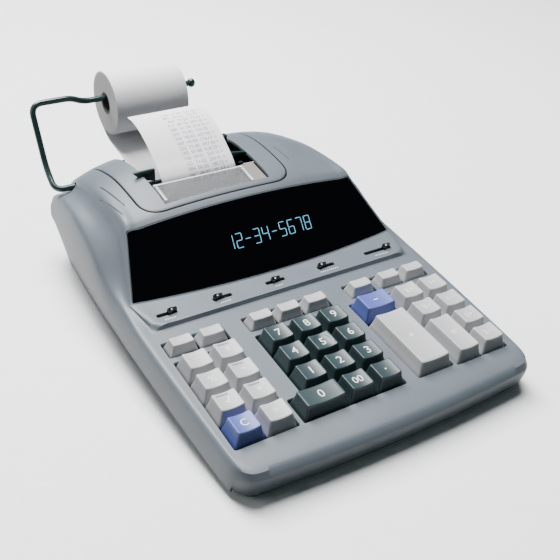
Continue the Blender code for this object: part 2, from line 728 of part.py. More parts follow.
def paper_path():
    """The web's middle line (y, z): off the roll, round the platen, up and curling back."""
    roll_z = rod.z - core_radius + wire_radius
    reach = roll_radius + 0.7 * u
    y_platen, z_platen = platen_axis.y, platen_axis.z
    turn = platen_radius + 0.8 * u
    path = arc_points((rod.y, roll_z), reach, -10, -55, 4)
    path += [(222 * u, 40.0 * u), (208 * u, 36.5 * u), (196 * u, 34.5 * u), (184 * u, 29.0 * u),
             (170 * u, 20.0 * u), (156 * u, 13.6 * u)]
    path += arc_points((y_platen, z_platen), turn, -100, -200, 6)
    path += [(132.6 * u, 28.0 * u), (130.8 * u, 36 * u), (131.4 * u, 43.0 * u), (135.2 * u, 47.6 * u),
             (140.6 * u, 51.8 * u), (147.6 * u, 57.0 * u), (155.4 * u, 61.8 * u), (164.0 * u, 65.8 * u),
             (173.6 * u, 68.4 * u), (183.0 * u, 68.6 * u)]
    return path


def make_paper_tape():
    path = [Vector((0, y, z)) for y, z in paper_path()]
    half = 0.15 * u
    upper, lower = [], []
    for i, point in enumerate(path):
        ahead = path[min(i + 1, len(path) - 1)] - path[max(i - 1, 0)]
        normal = Vector((0, -ahead.z, ahead.y)).normalized() * half
        upper.append(point + normal)
        lower.append(point - normal)
    outline = [(point.y, point.z) for point in upper + lower[::-1]]
    low = paper_middle - paper_width / 2
    new_object("paper_tape", outline_mesh("paper_tape", outline, low, low + paper_width), paper_white)


# ---------------------------------------------------------------- build
clear_scene()
parts = new_collection("desk_calculator")
cutters = new_collection("cutters")

body_frame = bpy.data.objects.new("body_frame", None)
parts.objects.link(body_frame)
body_frame.location = body_origin
keyboard_frame = bpy.data.objects.new("keyboard_frame", None)
parts.objects.link(keyboard_frame)
keyboard_frame.parent = body_frame
keyboard_frame.rotation_euler = (tilt, 0, 0)

casing_grey = new_material("casing_grey", (0.26, 0.29, 0.30), 0.45)
casing_light = new_material("casing_light", (0.36, 0.38, 0.37), 0.5)
key_light = new_material("key_light", (0.60, 0.60, 0.62), 0.45)
key_dark = new_material("key_dark", (0.07, 0.09, 0.10), 0.4)
key_blue = new_material("key_blue", (0.13, 0.18, 0.45), 0.4)
gloss_black = new_material("gloss_black", (0.004, 0.004, 0.006), 0.08)
gloss_dark = new_material("gloss_dark", (0.01, 0.025, 0.022), 0.3)
dark_glass = new_material("dark_glass", (0.01, 0.03, 0.04), 0.1)
clear_plastic = new_material("clear_plastic", (0.7, 0.72, 0.72), 0.15)
rubber_black = new_material("rubber_black", (0.02, 0.02, 0.02), 0.8)
arm_green = new_material("arm_green", (0.02, 0.045, 0.042), 0.35, 0.3)
paper_white = new_material("paper_white", (0.85, 0.84, 0.86), 0.8)
ink_purple = new_material("ink_purple", (0.05, 0.02, 0.08), 0.9)
board_green = new_material("board_green", (0.02, 0.12, 0.05), 0.5)
brass = new_material("brass", (0.6, 0.42, 0.15), 0.3, 1.0)
steel = new_material("steel", (0.5, 0.5, 0.5), 0.3, 1.0)

make_upper_casing()
make_bottom_casing()
make_feet()
make_keys()
make_switches()
make_display()
make_printer_cover()
make_tear_bar()
make_printer_frame()
make_platen()
make_feed_motor()
make_ink_roller()
make_circuit_parts()
make_paper_arm()
make_paper_roll()
make_paper_tape()
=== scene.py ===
import json
from math import asin, atan2, cos, pi, radians, sin, tan

import bmesh
import bpy
import numpy as np
from mathutils import Matrix, Vector


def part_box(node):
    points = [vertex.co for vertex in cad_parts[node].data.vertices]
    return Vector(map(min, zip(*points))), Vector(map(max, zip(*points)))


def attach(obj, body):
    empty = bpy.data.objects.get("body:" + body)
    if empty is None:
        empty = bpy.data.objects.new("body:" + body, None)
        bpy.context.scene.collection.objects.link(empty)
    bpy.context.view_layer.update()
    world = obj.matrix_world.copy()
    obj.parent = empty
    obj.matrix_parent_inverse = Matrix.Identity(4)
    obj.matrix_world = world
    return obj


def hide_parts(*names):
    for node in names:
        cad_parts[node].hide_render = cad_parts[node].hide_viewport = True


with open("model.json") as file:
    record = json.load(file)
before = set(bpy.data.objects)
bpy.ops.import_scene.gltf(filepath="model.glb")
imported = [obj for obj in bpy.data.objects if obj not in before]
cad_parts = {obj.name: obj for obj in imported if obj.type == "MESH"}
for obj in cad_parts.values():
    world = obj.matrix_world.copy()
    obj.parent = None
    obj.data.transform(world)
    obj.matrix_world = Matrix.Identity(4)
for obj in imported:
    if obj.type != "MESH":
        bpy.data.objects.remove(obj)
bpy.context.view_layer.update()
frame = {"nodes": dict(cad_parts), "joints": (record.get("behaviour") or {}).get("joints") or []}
nodes = frame["nodes"]

# One drawing unit is a nineteenth of the key pitch. Heights and depths are measured from the
# front edge of the top row of key caps, with the keyboard sloping up to the rear.
keyPitch = 0.0203
u = keyPitch / 19
tilt = asin(frame["joints"][0]["axis"][1])
platenAt = (141.0, 20.0)
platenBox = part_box("platen_roller")
originY = (platenBox[0].y + platenBox[1].y) / 2 - platenAt[0] * u
originZ = (platenBox[0].z + platenBox[1].z) / 2 - platenAt[1] * u
paperMiddle = -16.0
armPivot = (-86.0, 187.0, 25.4)
paperHalf = 0.057 / 2 / u


def place(x, y, z):    # units to world metres
    return Vector((x * u, y * u + originY, z * u + originZ))


def onDeck(x, v, n):    # a point over the sloping keyboard: across, up the slope, above the key tops
    return place(x, v * cos(tilt) - n * sin(tilt), v * sin(tilt) + n * cos(tilt))


def deckZ(y, level):    # height in units of a plane parallel to the keyboard
    return y * tan(tilt) + level / cos(tilt)


# Nodes of a material, made one by one so that every finish has grain and uneven gloss.
def blankMaterial(name):
    made = bpy.data.materials.new(name)
    made.use_nodes = True
    tree = made.node_tree
    shader = tree.nodes["Principled BSDF"]
    spot = tree.nodes.new("ShaderNodeTexCoord")
    return made, tree, shader, spot.outputs["Object"]


def tune(node, values):    # sets the unlinked inputs of a node
    for name, value in values.items():
        node.inputs[name].default_value = value


def noiseNode(tree, spot, scale, detail=3.0):
    node = tree.nodes.new("ShaderNodeTexNoise")
    tune(node, {"Scale": scale, "Detail": detail})
    tree.links.new(spot, node.inputs["Vector"])
    return node.outputs["Fac"]


def rampNode(tree, source, low, high, start=0.3, stop=0.7):
    node = tree.nodes.new("ShaderNodeValToRGB")
    node.color_ramp.elements[0].position = start
    node.color_ramp.elements[1].position = stop
    node.color_ramp.elements[0].color = low
    node.color_ramp.elements[1].color = high
    tree.links.new(source, node.inputs["Fac"])
    return node.outputs["Color"]


def grey(value):
    return (value, value, value, 1)


def shade(colour, factor):
    return (*[min(part * factor, 1) for part in colour], 1)


def bumpNode(tree, shader, source, strength, distance):
    node = tree.nodes.new("ShaderNodeBump")
    tune(node, {"Strength": strength, "Distance": distance})
    tree.links.new(source, node.inputs["Height"])
    tree.links.new(node.outputs["Normal"], shader.inputs["Normal"])


def mouldedFinish(name, colour, gloss, grain=2600.0, bump=0.12, mottle=0.05, metal=0.0, coat=0.0):
    made, tree, shader, spot = blankMaterial(name)
    broad = noiseNode(tree, spot, 55.0)
    fine = noiseNode(tree, spot, grain, 2.0)
    tint = rampNode(tree, broad, shade(colour, 1 - mottle), shade(colour, 1 + mottle))
    tree.links.new(tint, shader.inputs["Base Color"])
    rough = rampNode(tree, fine, grey(gloss * 0.85), grey(min(gloss * 1.2, 1)))
    tree.links.new(rough, shader.inputs["Roughness"])
    tune(shader, {"Metallic": metal, "Coat Weight": coat, "Coat Roughness": 0.08})
    if bump:
        bumpNode(tree, shader, fine, bump, 0.0001)
    return made


def paperFinish(name, colour, ringed=False):
    made, tree, shader, spot = blankMaterial(name)
    fibres = noiseNode(tree, spot, 420.0, 6.0)
    tint = rampNode(tree, fibres, shade(colour, 0.97), shade(colour, 1.02))
    tune(shader, {"Roughness": 0.82, "Subsurface Weight": 0.04, "Subsurface Radius": (0.002, 0.002, 0.002)})
    if ringed:    # wound edges show as fine rings round the roll's axis
        wave = tree.nodes.new("ShaderNodeTexWave")
        wave.wave_type = 'RINGS'
        wave.rings_direction = 'X'
        tune(wave, {"Scale": 260.0, "Distortion": 1.2})
        tree.links.new(spot, wave.inputs["Vector"])
        rings = rampNode(tree, wave.outputs["Fac"], grey(0.9), grey(1.0), 0.1, 0.6)
        mix = tree.nodes.new("ShaderNodeMix")
        mix.data_type = 'RGBA'
        mix.blend_type = 'MULTIPLY'
        mix.inputs["Factor"].default_value = 1.0
        tree.links.new(tint, mix.inputs["A"])
        tree.links.new(rings, mix.inputs["B"])
        tint = mix.outputs["Result"]
    tree.links.new(tint, shader.inputs["Base Color"])
    bumpNode(tree, shader, fibres, 0.15, 0.0002)
    return made


def clearFinish(name, colour):
    made, tree, shader, spot = blankMaterial(name)
    scuffs = noiseNode(tree, spot, 900.0, 4.0)
    tint = rampNode(tree, scuffs, shade(colour, 0.95), shade(colour, 1.0))
    tree.links.new(rampNode(tree, scuffs, grey(0.10), grey(0.3)), shader.inputs["Roughness"])
    tree.links.new(tint, shader.inputs["Base Color"])
    tune(shader, {"Transmission Weight": 0.9, "IOR": 1.3})
    return made


def glowFinish(name, colour, strength):
    made, tree, shader, spot = blankMaterial(name)
    uneven = noiseNode(tree, spot, 700.0)
    tint = rampNode(tree, uneven, shade(colour, 0.75), shade(colour, 1.1))
    tree.links.new(tint, shader.inputs["Base Color"])
    tree.links.new(tint, shader.inputs["Emission Color"])
    tune(shader, {"Emission Strength": strength, "Roughness": 0.4})
    return made


casingGrey = mouldedFinish("casingGrey", (0.098, 0.118, 0.138), 0.45)
trayGrey = mouldedFinish("trayGrey", (0.125, 0.143, 0.148), 0.5)
keyGrey = mouldedFinish("keyGrey", (0.42, 0.42, 0.432), 0.42, mottle=0.03)
keyBlue = mouldedFinish("keyBlue", (0.075, 0.105, 0.35), 0.4, mottle=0.03)
keyDark = mouldedFinish("keyDark", (0.026, 0.045, 0.05), 0.36, mottle=0.04)
lensBlack = mouldedFinish("lensBlack", (0.001, 0.001, 0.0015), 0.08, bump=0.0)
tune(lensBlack.node_tree.nodes["Principled BSDF"], {"Specular IOR Level": 0.1})
knobBlack = mouldedFinish("knobBlack", (0.006, 0.008, 0.012), 0.14, bump=0.03, coat=0.6)
guideGreen = mouldedFinish("guideGreen", (0.008, 0.028, 0.026), 0.32, bump=0.08)
armPaint = mouldedFinish("armPaint", (0.016, 0.04, 0.038), 0.3, grain=1500.0, metal=0.3, coat=0.3)
rubberBlack = mouldedFinish("rubberBlack", (0.02, 0.02, 0.021), 0.8, grain=1400.0, bump=0.3)
clearPlate = clearFinish("clearPlate", (0.80, 0.82, 0.83))
ledgeGrey = mouldedFinish("ledgeGrey", (0.17, 0.155, 0.145), 0.5)
# White standing in for highlights on clear plastic: the tear bar's saw edge and its end rails get this painted
# highlight.
paintedHighlightWhite = mouldedFinish("paintedHighlightWhite", (0.66, 0.68, 0.70), 0.3)
paperWhite = paperFinish("paperWhite", (0.86, 0.85, 0.87))
paperEdge = paperFinish("paperEdge", (0.84, 0.82, 0.80), ringed=True)
# Card core coloured very dark: partly card tone, partly painted shade of the hollow bore.
coreCardWithPaintedShade = paperFinish("coreCardWithPaintedShade", (0.10, 0.085, 0.08))
printInk = mouldedFinish("printInk", (0.22, 0.19, 0.33), 0.8, grain=5000.0, bump=0.0, mottle=0.3)
whiteInk = mouldedFinish("whiteInk", (0.82, 0.83, 0.84), 0.5, bump=0.0)
darkInk = mouldedFinish("darkInk", (0.09, 0.10, 0.11), 0.5, bump=0.0)
segmentGlow = glowFinish("segmentGlow", (0.12, 0.42, 0.58), 0.55)
tubeGlass = mouldedFinish("tubeGlass", (0.01, 0.03, 0.04), 0.1, bump=0.0)
boardGreen = mouldedFinish("boardGreen", (0.02, 0.13, 0.05), 0.45, grain=900.0)
brassGear = mouldedFinish("brassGear", (0.62, 0.43, 0.16), 0.3, grain=1800.0, metal=1.0)
motorSteel = mouldedFinish("motorSteel", (0.52, 0.52, 0.53), 0.3, grain=1800.0, metal=1.0)
inkFelt = mouldedFinish("inkFelt", (0.05, 0.02, 0.09), 0.9, grain=1500.0, bump=0.5)
print("materials made")


# Meshes: every one is worked out in bmesh, and cut or thickened with modifiers where that is simpler.
def meshFrom(shape, name, outward=True):
    mesh = bpy.data.meshes.new(name)
    if outward:
        bmesh.ops.recalc_face_normals(shape, faces=shape.faces)
    shape.to_mesh(mesh)
    shape.free()
    return mesh


def sheetMesh(name, rows):
    shape = bmesh.new()
    made = [[shape.verts.new(point) for point in row] for row in rows]
    for lower, upper in zip(made, made[1:]):
        for i in range(len(lower) - 1):
            shape.faces.new((lower[i], lower[i + 1], upper[i + 1], upper[i]))
    return meshFrom(shape, name, outward=False)


def loftMesh(name, rings, looped=False):    # looped joins the last ring to the first, else both get caps
    shape = bmesh.new()
    made = [[shape.verts.new(point) for point in ring] for ring in rings]
    count = len(rings[0])
    pairs = list(zip(made, made[1:])) + ([(made[-1], made[0])] if looped else [])
    for lower, upper in pairs:
        for i in range(count):
            j = (i + 1) % count
            shape.faces.new((lower[i], lower[j], upper[j], upper[i]))
    if not looped:
        shape.faces.new(made[0])
        shape.faces.new(made[-1])
    return meshFrom(shape, name)


def joinMeshes(name, meshes):
    shape = bmesh.new()
    for mesh in meshes:
        shape.from_mesh(mesh)
        bpy.data.meshes.remove(mesh)
    return meshFrom(shape, name, outward=False)


def plainObject(name, mesh):
    made = bpy.data.objects.new(name, mesh)
    bpy.context.scene.collection.objects.link(made)
    return made


def piece(name, mesh, finish, body, stands=(), smooth=30):
    made = plainObject(name, mesh)
    if not mesh.materials:
        mesh.materials.append(finish)
    if smooth:
        mesh.shade_smooth()
        mesh.set_sharp_from_angle(angle=radians(smooth))
    if stands:
        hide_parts(*stands)
    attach(made, body)
    return made


def settle(obj):    # the finished mesh of a curve or of an object with modifiers, which then goes
    bpy.context.view_layer.update()
    seen = bpy.context.evaluated_depsgraph_get()
    mesh = bpy.data.meshes.new_from_object(obj.evaluated_get(seen))
    helpers = {step.object for step in obj.modifiers if step.type == 'BOOLEAN'}
    for helper in (obj, *helpers):
        bpy.data.objects.remove(helper)
    return mesh


def carve(target, mesh, how='DIFFERENCE', folded=False):
    step = target.modifiers.new(how.lower(), 'BOOLEAN')
    step.use_self = folded    # for walls that cross each other at creases
    step.operation = how
    step.solver = 'EXACT'
    step.object = plainObject("helper", mesh)


def thicken(target, thickness):    # grows downwards, so the given surface stays on top
    step = target.modifiers.new("shell", 'SOLIDIFY')
    step.thickness = thickness * u
    step.offset = -1


def softEdges(target, width, segments=3):
    step = target.modifiers.new("soft", 'BEVEL')
    step.width = width * u
    step.segments = segments
    step.limit_method = 'ANGLE'
    step.angle_limit = radians(35)


def roundRect(halfX, halfY, corner, steps=5, along=0):    # corners as arcs, anticlockwise
    arcs = []
    for turn, (sx, sy) in enumerate(((1, 1), (-1, 1), (-1, -1), (1, -1))):
        angles = [(turn + i / steps) * pi / 2 for i in range(steps + 1)]
        centre = (sx * (halfX - corner), sy * (halfY - corner))
        arcs.append([(centre[0] + corner * cos(angle), centre[1] + corner * sin(angle)) for angle in angles])
    points = []
    for arc, following in zip(arcs, arcs[1:] + arcs[:1]):    # with points along each side too
        points += arc
        for i in range(1, along + 1):
            share = i / (along + 1)
            points.append(tuple(p + (q - p) * share for p, q in zip(arc[-1], following[0])))
    return points


def roundPath(corners, radius, count=6):    # a polyline with every inner corner turned softly
    made = [Vector(corners[0])]
    for before, corner, after in zip(corners, corners[1:], corners[2:]):
        before, corner, after = Vector(before), Vector(corner), Vector(after)
        reach = min(radius, (corner - before).length / 2.1, (after - corner).length / 2.1)
        start = corner + (before - corner).normalized() * reach
        end = corner + (after - corner).normalized() * reach
        for i in range(count + 1):
            share = i / count
            made.append(start * (1 - share) ** 2 + corner * 2 * share * (1 - share) + end * share ** 2)
    made.append(Vector(corners[-1]))
    return made


def refine(grid, target, breaks=()):
    # Smooth curves along the first axis through every given row; at a break the curve has a corner.
    steps = np.diff(grid, axis=0)
    lengths = np.linalg.norm(steps, axis=2).mean(axis=1)
    gaps = lengths ** 0.5 + 1e-6
    slopes = steps / gaps[:, None, None]
    made, starts = [], [0]
    for i, gap in enumerate(gaps):
        joinsLast = i > 0 and i not in breaks
        joinsNext = i < len(gaps) - 1 and i + 1 not in breaks
        gapBefore, before = (gaps[i - 1], slopes[i - 1]) if joinsLast else (gap, slopes[i])
        gapAfter, after = (gaps[i + 1], slopes[i + 1]) if joinsNext else (gap, slopes[i])
        leave = (before * gap + slopes[i] * gapBefore) / (gap + gapBefore) * gap
        arrive = (slopes[i] * gapAfter + after * gap) / (gap + gapAfter) * gap
        count = max(1, int(round(lengths[i] / target)))
        for k in range(count):
            s = k / count
            made.append(grid[i] * (2 * s ** 3 - 3 * s ** 2 + 1) + leave * (s ** 3 - 2 * s ** 2 + s)
                        + grid[i + 1] * (3 * s ** 2 - 2 * s ** 3) + arrive * (s ** 3 - s ** 2))
        starts.append(len(made))
    made.append(grid[-1])
    return np.array(made), starts    # starts says where each given row now is


# Upper casing: deck, raised panel, display slope, printer hump and side walls in one skin.
casing = {
    "halfWidth": 103.0,
    "deckLevel": -8.0,
    "panelLevel": -5.6,
    "seamLevel": -25.5,
    "wall": 2.4,
    "panelFront": 43.4,
    "armHole": 2.4,
    "columnShares": (0.0, 0.1, 0.2, 0.3, 0.4, 0.5, 0.6, 0.7, 0.8, 0.9, 1.0),
    "spacing": 3.0,    # size of the skin's facets
    # y in the middle, y at the side, crown z, hump edge x and z, hump foot x and z, crease z
    "stations": ((60.2, 67.4, 1.9, 94.5, 2.7, 96.2, 1.4, 0.2),
                 (80.0, 84.0, 20.6, 88.3, 17.6, 92.6, 7.0, 3.0),
                 (99.5, 100.0, 37.6, 82.4, 32.2, 89.2, 19.4, 9.6),
                 (104.0, 104.0, 40.2, 81.6, 35.2, 88.4, 22.0, 12.0),
                 (113.0, 113.0, 43.6, 81.0, 36.6, 87.8, 25.4, 16.6),
                 (132.0, 132.0, 46.8, 80.6, 37.2, 87.6, 27.6, 21.8),
                 (150.0, 150.0, 48.0, 80.4, 36.4, 87.4, 27.8, 24.2),
                 (163.0, 163.0, 47.4, 80.2, 34.6, 87.0, 26.6, 23.6),
                 (180.0, 180.0, 43.8, 79.8, 31.2, 86.4, 24.0, 21.6),
                 (194.0, 194.0, 37.6, 79.0, 26.4, 85.4, 19.6, 17.8),
                 (206.0, 205.0, 28.6, 77.8, 19.6, 83.8, 13.8, 12.4),
                 (212.0, 210.5, 18.0, 76.6, 12.4, 82.2, 8.6, 7.8),
                 (216.0, 213.8, 7.0, 75.6, 5.6, 81.0, 4.2, 3.8)),
}


def sideWidth(y):
    fall = 2.7 * ((y - 60) / 110) ** 2 if y < 60 else 8.5 * ((y - 60) / 150) ** 2
    return casing["halfWidth"] - fall


def frontBow(x):
    corner = 9 * ((abs(x) - 88) / 10) ** 2.4 if abs(x) > 88 else 0
    return 3.6 * (x / 90) ** 2 + corner


def crown(share, middle, edge, y=0.0):
    power = 2 + 2 * min(max((y - 100) / 50, 0), 1)
    return middle + (edge - middle) * share ** power


def humpRow(station):
    yMiddle, ySide, zMiddle, xEdge, zEdge, xFoot, zFoot, zCrease = station
    points = [(xEdge * share, crown(share, yMiddle, ySide), crown(share, zMiddle, zEdge, yMiddle))
              for share in casing["columnShares"]]
    width = sideWidth(ySide) - max(ySide - 205, 0) * 0.35
    seam = deckZ(ySide, casing["seamLevel"])
    points.append((xEdge * 0.45 + xFoot * 0.55, ySide, zEdge * 0.35 + zFoot * 0.65))
    points.append((xFoot + 0.6, ySide, zFoot))
    points.append((width - 3.4, ySide, zCrease))
    points.append((width - 1.7, ySide, zCrease - 2.6 - (zCrease - seam) * 0.06))
    points.append((width - 0.5, ySide, (zCrease + seam) / 2))
    points.append((width, ySide, seam))
    return points


def deckRow(yMiddle, bow, frontDrop, level=None, edge=88.0):
    level = casing["deckLevel"] if level is None else level
    width = sideWidth(yMiddle + bow * frontBow(casing["halfWidth"] * 0.975))
    xs = [edge * share for share in casing["columnShares"]] + [92.0, 94.2]
    xs += [width - 3.4, width - 1.7, width - 0.5, width]
    if frontDrop:
        xs = [x * (0.975 + 0.025 * (1 - frontDrop)) for x in xs]
    tops = [level] * len(casing["columnShares"]) + [casing["deckLevel"]] * 6
    sideDrops = [0] * (len(xs) - 4) + [0.02, 0.15, 0.55, 1.0]
    points = []
    for x, top, side in zip(xs, tops, sideDrops):
        drop = 1 - (1 - frontDrop) * (1 - side)
        y = yMiddle + bow * frontBow(x)
        points.append((x, y, deckZ(y, top + (casing["seamLevel"] - top) * drop)))
    return points


def skinRows():
    front = casing["panelFront"]
    rows = [deckRow(*row) for row in ((-71.8, 1.0, 1.0), (-74.8, 1.0, 0.55), (-75.6, 0.97, 0.24),
                                      (-73.2, 0.94, 0.07), (-67.4, 0.88, 0.01), (-58.6, 0.8, 0.0),
                                      (-20.0, 0.2, 0.0), (20.0, 0.0, 0.0))]
    rows.append(deckRow(front, 0.0, 0.0, edge=85.0))
    rows.append(deckRow(front + 0.9, 0.0, 0.0, casing["panelLevel"], 85.0))
    rows.append(deckRow(front + 4.5, 0.0, 0.0, casing["panelLevel"], 90.4))
    panelRow = len(rows) - 3
    rows += [humpRow(station) for station in casing["stations"]]
    lensRow = len(rows) - len(casing["stations"])
    last = rows[-1]
    rows.append([(x, y + 1, deckZ(y + 1, casing["seamLevel"])) for x, y, z in last])
    return np.array(rows), panelRow, lensRow


def fineSkin():
    rows, panelRow, lensRow = skinRows()
    inner = len(casing["columnShares"]) - 2
    columns = rows.transpose(1, 0, 2)
    outer, columnStarts = refine(columns[inner:], casing["spacing"] / 2)
    half = np.concatenate([columns[:inner], outer]).transpose(1, 0, 2)
    breaks = (panelRow, panelRow + 1, panelRow + 2, lensRow, len(rows) - 2)
    fine, rowStarts = refine(half, casing["spacing"], breaks)
    left = fine[:, :0:-1] * np.array((-1, 1, 1))
    whole = np.concatenate([left, fine], axis=1)
    return whole, inner + columnStarts[1], rowStarts[lensRow], rowStarts[lensRow + 2]


skin, edgeColumn, lensStart, lensEnd = fineSkin()
middleColumn = skin.shape[1] // 2


def skinHeight(x, y):    # height of the hump's top at x, y, for y from the brow to the rear
    ys = skin[:, middleColumn, 1]
    i = int(np.clip(np.searchsorted(ys, y) - 1, 0, len(ys) - 2))
    while ys[i + 1] <= ys[i]:
        i += 1
    share = (y - ys[i]) / (ys[i + 1] - ys[i])
    heights = [np.interp(x, skin[k, :, 0], skin[k, :, 2]) for k in (i, i + 1)]
    return heights[0] + (heights[1] - heights[0]) * share


def worldRows(rows):
    return [[place(*point) for point in row] for row in rows]


def roundLoop(corners, radius, count=4):    # a closed anticlockwise outline with round corners
    made = []
    for i, corner in enumerate(corners):
        before, corner, after = (Vector(corners[k % len(corners)]) for k in (i - 1, i, i + 1))
        start = corner + (before - corner).normalized() * radius
        end = corner + (after - corner).normalized() * radius
        for k in range(count + 1):
            share = k / count
            made.append(start * (1 - share) ** 2 + corner * 2 * share * (1 - share) + end * share ** 2)
    return made


def fillLoop(points, longest):    # adds points along the straight stretches
    made = []
    for point, after in zip(points, points[1:] + points[:1]):
        count = max(1, int((after - point).length / longest))
        made += [point.lerp(after, k / count) for k in range(count)]
    return made


def growLoop(points, amount):    # moves an anticlockwise outline outwards
    made = []
    for i, point in enumerate(points):
        along = (points[(i + 1) % len(points)] - points[i - 1]).normalized()
        made.append(point + Vector((along.y, -along.x)) * amount)
    return made


def deckCutter(outline, levels):    # levels are (height over the keyboard, growth)
    return loftMesh("cutter", [[onDeck(p.x, p.y, level) for p in growLoop(outline, grow)]
                               for level, grow in levels])


def topCutter(outline, lip, growth=0.0):
    # An upright cutter whose sides flare (or narrow, with a negative lip) where they meet the hump.
    low, high = hatch["cutHeights"]
    loop = growLoop(fillLoop(outline, casing["spacing"]), growth)
    rings = [[place(p.x, p.y, low) for p in loop],
             [place(p.x, p.y, skinHeight(p.x, p.y) - abs(lip)) for p in loop]]
    flared = growLoop(loop, 2 * lip)
    rings.append([place(p.x, p.y, skinHeight(q.x, q.y) + abs(lip)) for p, q in zip(flared, loop)])
    rings.append([place(p.x, p.y, high) for p in flared])
    return loftMesh("cutter", rings)


# Where the keys and the slide switches stand: x across, v up the slope.
keyRows = [6.0 - 17.2 * i for i in range(4)]
keyColumns = {"left": (-82.6, -63.6), "middle": (-31.1, -12.1, 6.9), "wide": 38.0, "right": (62.4, 81.4)}
keySpots = {
    "smallRow": 25.6,
    "zeroX": -35.9,
    "minusV": 6.2,
    "plusV": -29.3,
    "rightDrop": 1.2,    # the right block sits a little lower
    "smallShift": 2.6,    # the small key over the wide column stands to its right
}
caps = {
    "small": {"base": (17.5, 11.0), "top": (12.4, 6.6), "height": -2.4, "dip": 0.45},
    "square": {"base": (18.0, 16.4), "top": (13.0, 12.0), "height": 0.0, "dip": 0.95},
    "wide": {"base": (28.4, 16.4), "top": (23.4, 12.0), "height": 0.0, "dip": 1.0},
    "tall": {"base": (18.0, 33.6), "top": (13.0, 29.2), "height": 0.0, "dip": 0.95},
    "minus": {"base": (24.0, 17.4), "top": (19.0, 13.0), "height": 0.0, "dip": 1.0},
    "plus": {"base": (24.0, 49.0), "top": (19.0, 44.4), "height": 0.0, "dip": 1.0},
    "dish": 5.4,    # radius of the round dish in the 5
    "dishDepth": 0.7,
    "corner": 1.1,
    "lowEdge": -11.0,    # heights of the skirt's foot, its top, and the foot of the stem
    "skirtTop": -9.4,
    "stemFoot": -15.0,
    "stem": (3.0, 2.5),
}
wells = {
    "ease": 0.9,    # room round a block of keys
    "corner": 1.2,
    "depth": -14.0,
    "above": 2.0,    # how far over the key tops the cutters reach
    "chamfer": 0.35,
}
slides = {
    "v": 52.0,
    "slotWidth": 2.6,
    "slotCorner": 1.1,
    "slots": {    # slot centre, slot length, knob centre
        "switch_power": (-78.8, 13.0, -75.6),
        "switch_mode": (-42.3, 13.0, -45.5),
        "switch_rounding": (-5.2, 13.6, -5.2),
        "switch_rate": (32.5, 13.0, 29.3),
        "switch_decimals": (73.7, 21.5, 80.4),
    },
}
lens = {
    "rim": 1.4,    # strip of casing left round the window
    "slope": 50.0,    # length of the display slope, up the middle
    "gap": 0.3,
    "lip": 0.3,
    "thickness": 1.9,
}
hatch = {
    "x": (-67.0, 39.0),
    "y": (104.0, 205.0),
    "corner": 14.0,
    "mouthX": (-51.5, 23.5),
    "mouthY": 108.5,
    "gap": 0.5,
    "lip": 0.3,
    "thickness": 2.0,
    "sheetY": (101.5, 208.0),
    "cutHeights": (8.0, 70.0),    # cutters reach from inside the hump to well over it
}


def boxOutline(xLow, xHigh, yLow, yHigh):
    return [(xLow, yLow), (xHigh, yLow), (xHigh, yHigh), (xLow, yHigh)]


def wellOutlines():
    ease = wells["ease"]
    (squareX, squareY), (wideX, _), (plusX, plusY) = (
        [size / 2 for size in caps[name]["base"]] for name in ("square", "wide", "plus"))
    halfX, halfY, halfSmall = squareX + ease, squareY + ease, caps["small"]["base"][1] / 2 + ease
    left, middle, wide, right = (keyColumns[name] for name in ("left", "middle", "wide", "right"))
    front, rear = keyRows[3] - halfY, keyRows[0] + halfY
    small = (keySpots["smallRow"] - halfSmall, keySpots["smallRow"] + halfSmall)
    zeroLeft, step = keySpots["zeroX"] - wideX - ease, keyRows[3] + halfY
    shift, drop = keySpots["smallShift"], keySpots["rightDrop"]
    return [
        boxOutline(left[0] - halfX, left[1] + halfX, *small),
        boxOutline(left[0] - halfX, left[1] + halfX, front, rear),
        boxOutline(middle[0] - halfX, middle[2] + halfX, *small),
        [(zeroLeft, front), (middle[2] + halfX, front), (middle[2] + halfX, rear),
         (middle[0] - halfX, rear), (middle[0] - halfX, step), (zeroLeft, step)],
        boxOutline(wide + shift - halfX, wide + shift + halfX, *small),
        boxOutline(right[0] - halfX, right[1] + halfX, *small),
        boxOutline(wide - plusX - ease, wide + plusX + ease, keySpots["plusV"] - plusY - ease, rear),
        boxOutline(right[0] - halfX, right[1] + halfX, front - drop, rear - drop),
    ]


def lensRows(inset, steps=14):
    rows = []
    rim = lens["rim"] + inset
    margin = rim / lens["slope"]
    for k in range(steps + 1):
        share = margin + (1 - 2 * margin) * k / steps
        at = lensStart + share * (lensEnd - lensStart)
        i = min(int(at), lensEnd - 1)
        row = skin[i] + (skin[i + 1] - skin[i]) * (at - i)
        row = row[middleColumn - edgeColumn:middleColumn + edgeColumn + 1]
        edge = row[-1][0]
        rows.append([(x * (edge - rim) / edge, y, z) for x, y, z in row])
    return rows


def lensCutter():
    rows, lip = lensRows(-lens["gap"]), lens["lip"]
    loop = rows[0][:-1] + [row[-1] for row in rows[:-1]]    # along the foot and up the right
    loop += rows[-1][:0:-1] + [row[0] for row in rows[:0:-1]]   # back along the brow and down the left
    flared = growLoop([Vector(point[:2]) for point in loop], 2 * lip)
    heights = [z for x, y, z in loop]
    rings = [[place(x, y, min(heights) - 8) for x, y, z in loop],
             [place(x, y, z - lip) for x, y, z in loop],
             [place(spot.x, spot.y, z + lip) for spot, z in zip(flared, heights)],
             [place(spot.x, spot.y, max(heights) + 8) for spot in flared]]
    return loftMesh("cutter", rings)


def hatchOutline(inset=0.0):
    left, right = hatch["x"]
    front, rear = hatch["y"]
    corners = boxOutline(left + inset, right - inset, front + inset, rear - inset)
    front, rear = roundLoop(corners, hatch["corner"] - inset, 8), roundLoop(corners, 2.0, 3)
    return front[:len(front) // 2] + rear[len(rear) // 2:]    # wide curves at the front only


grooves = {    # styling lines beside the hatch: x and y of both ends
    "lines": (((-73.5, 120.0), (-76.5, 152.0)),
              ((-78.5, 112.0), (-81.5, 140.0)),
              ((47.0, 122.0), (45.5, 140.0))),
    "width": 0.9,
    "depth": 0.6,
}


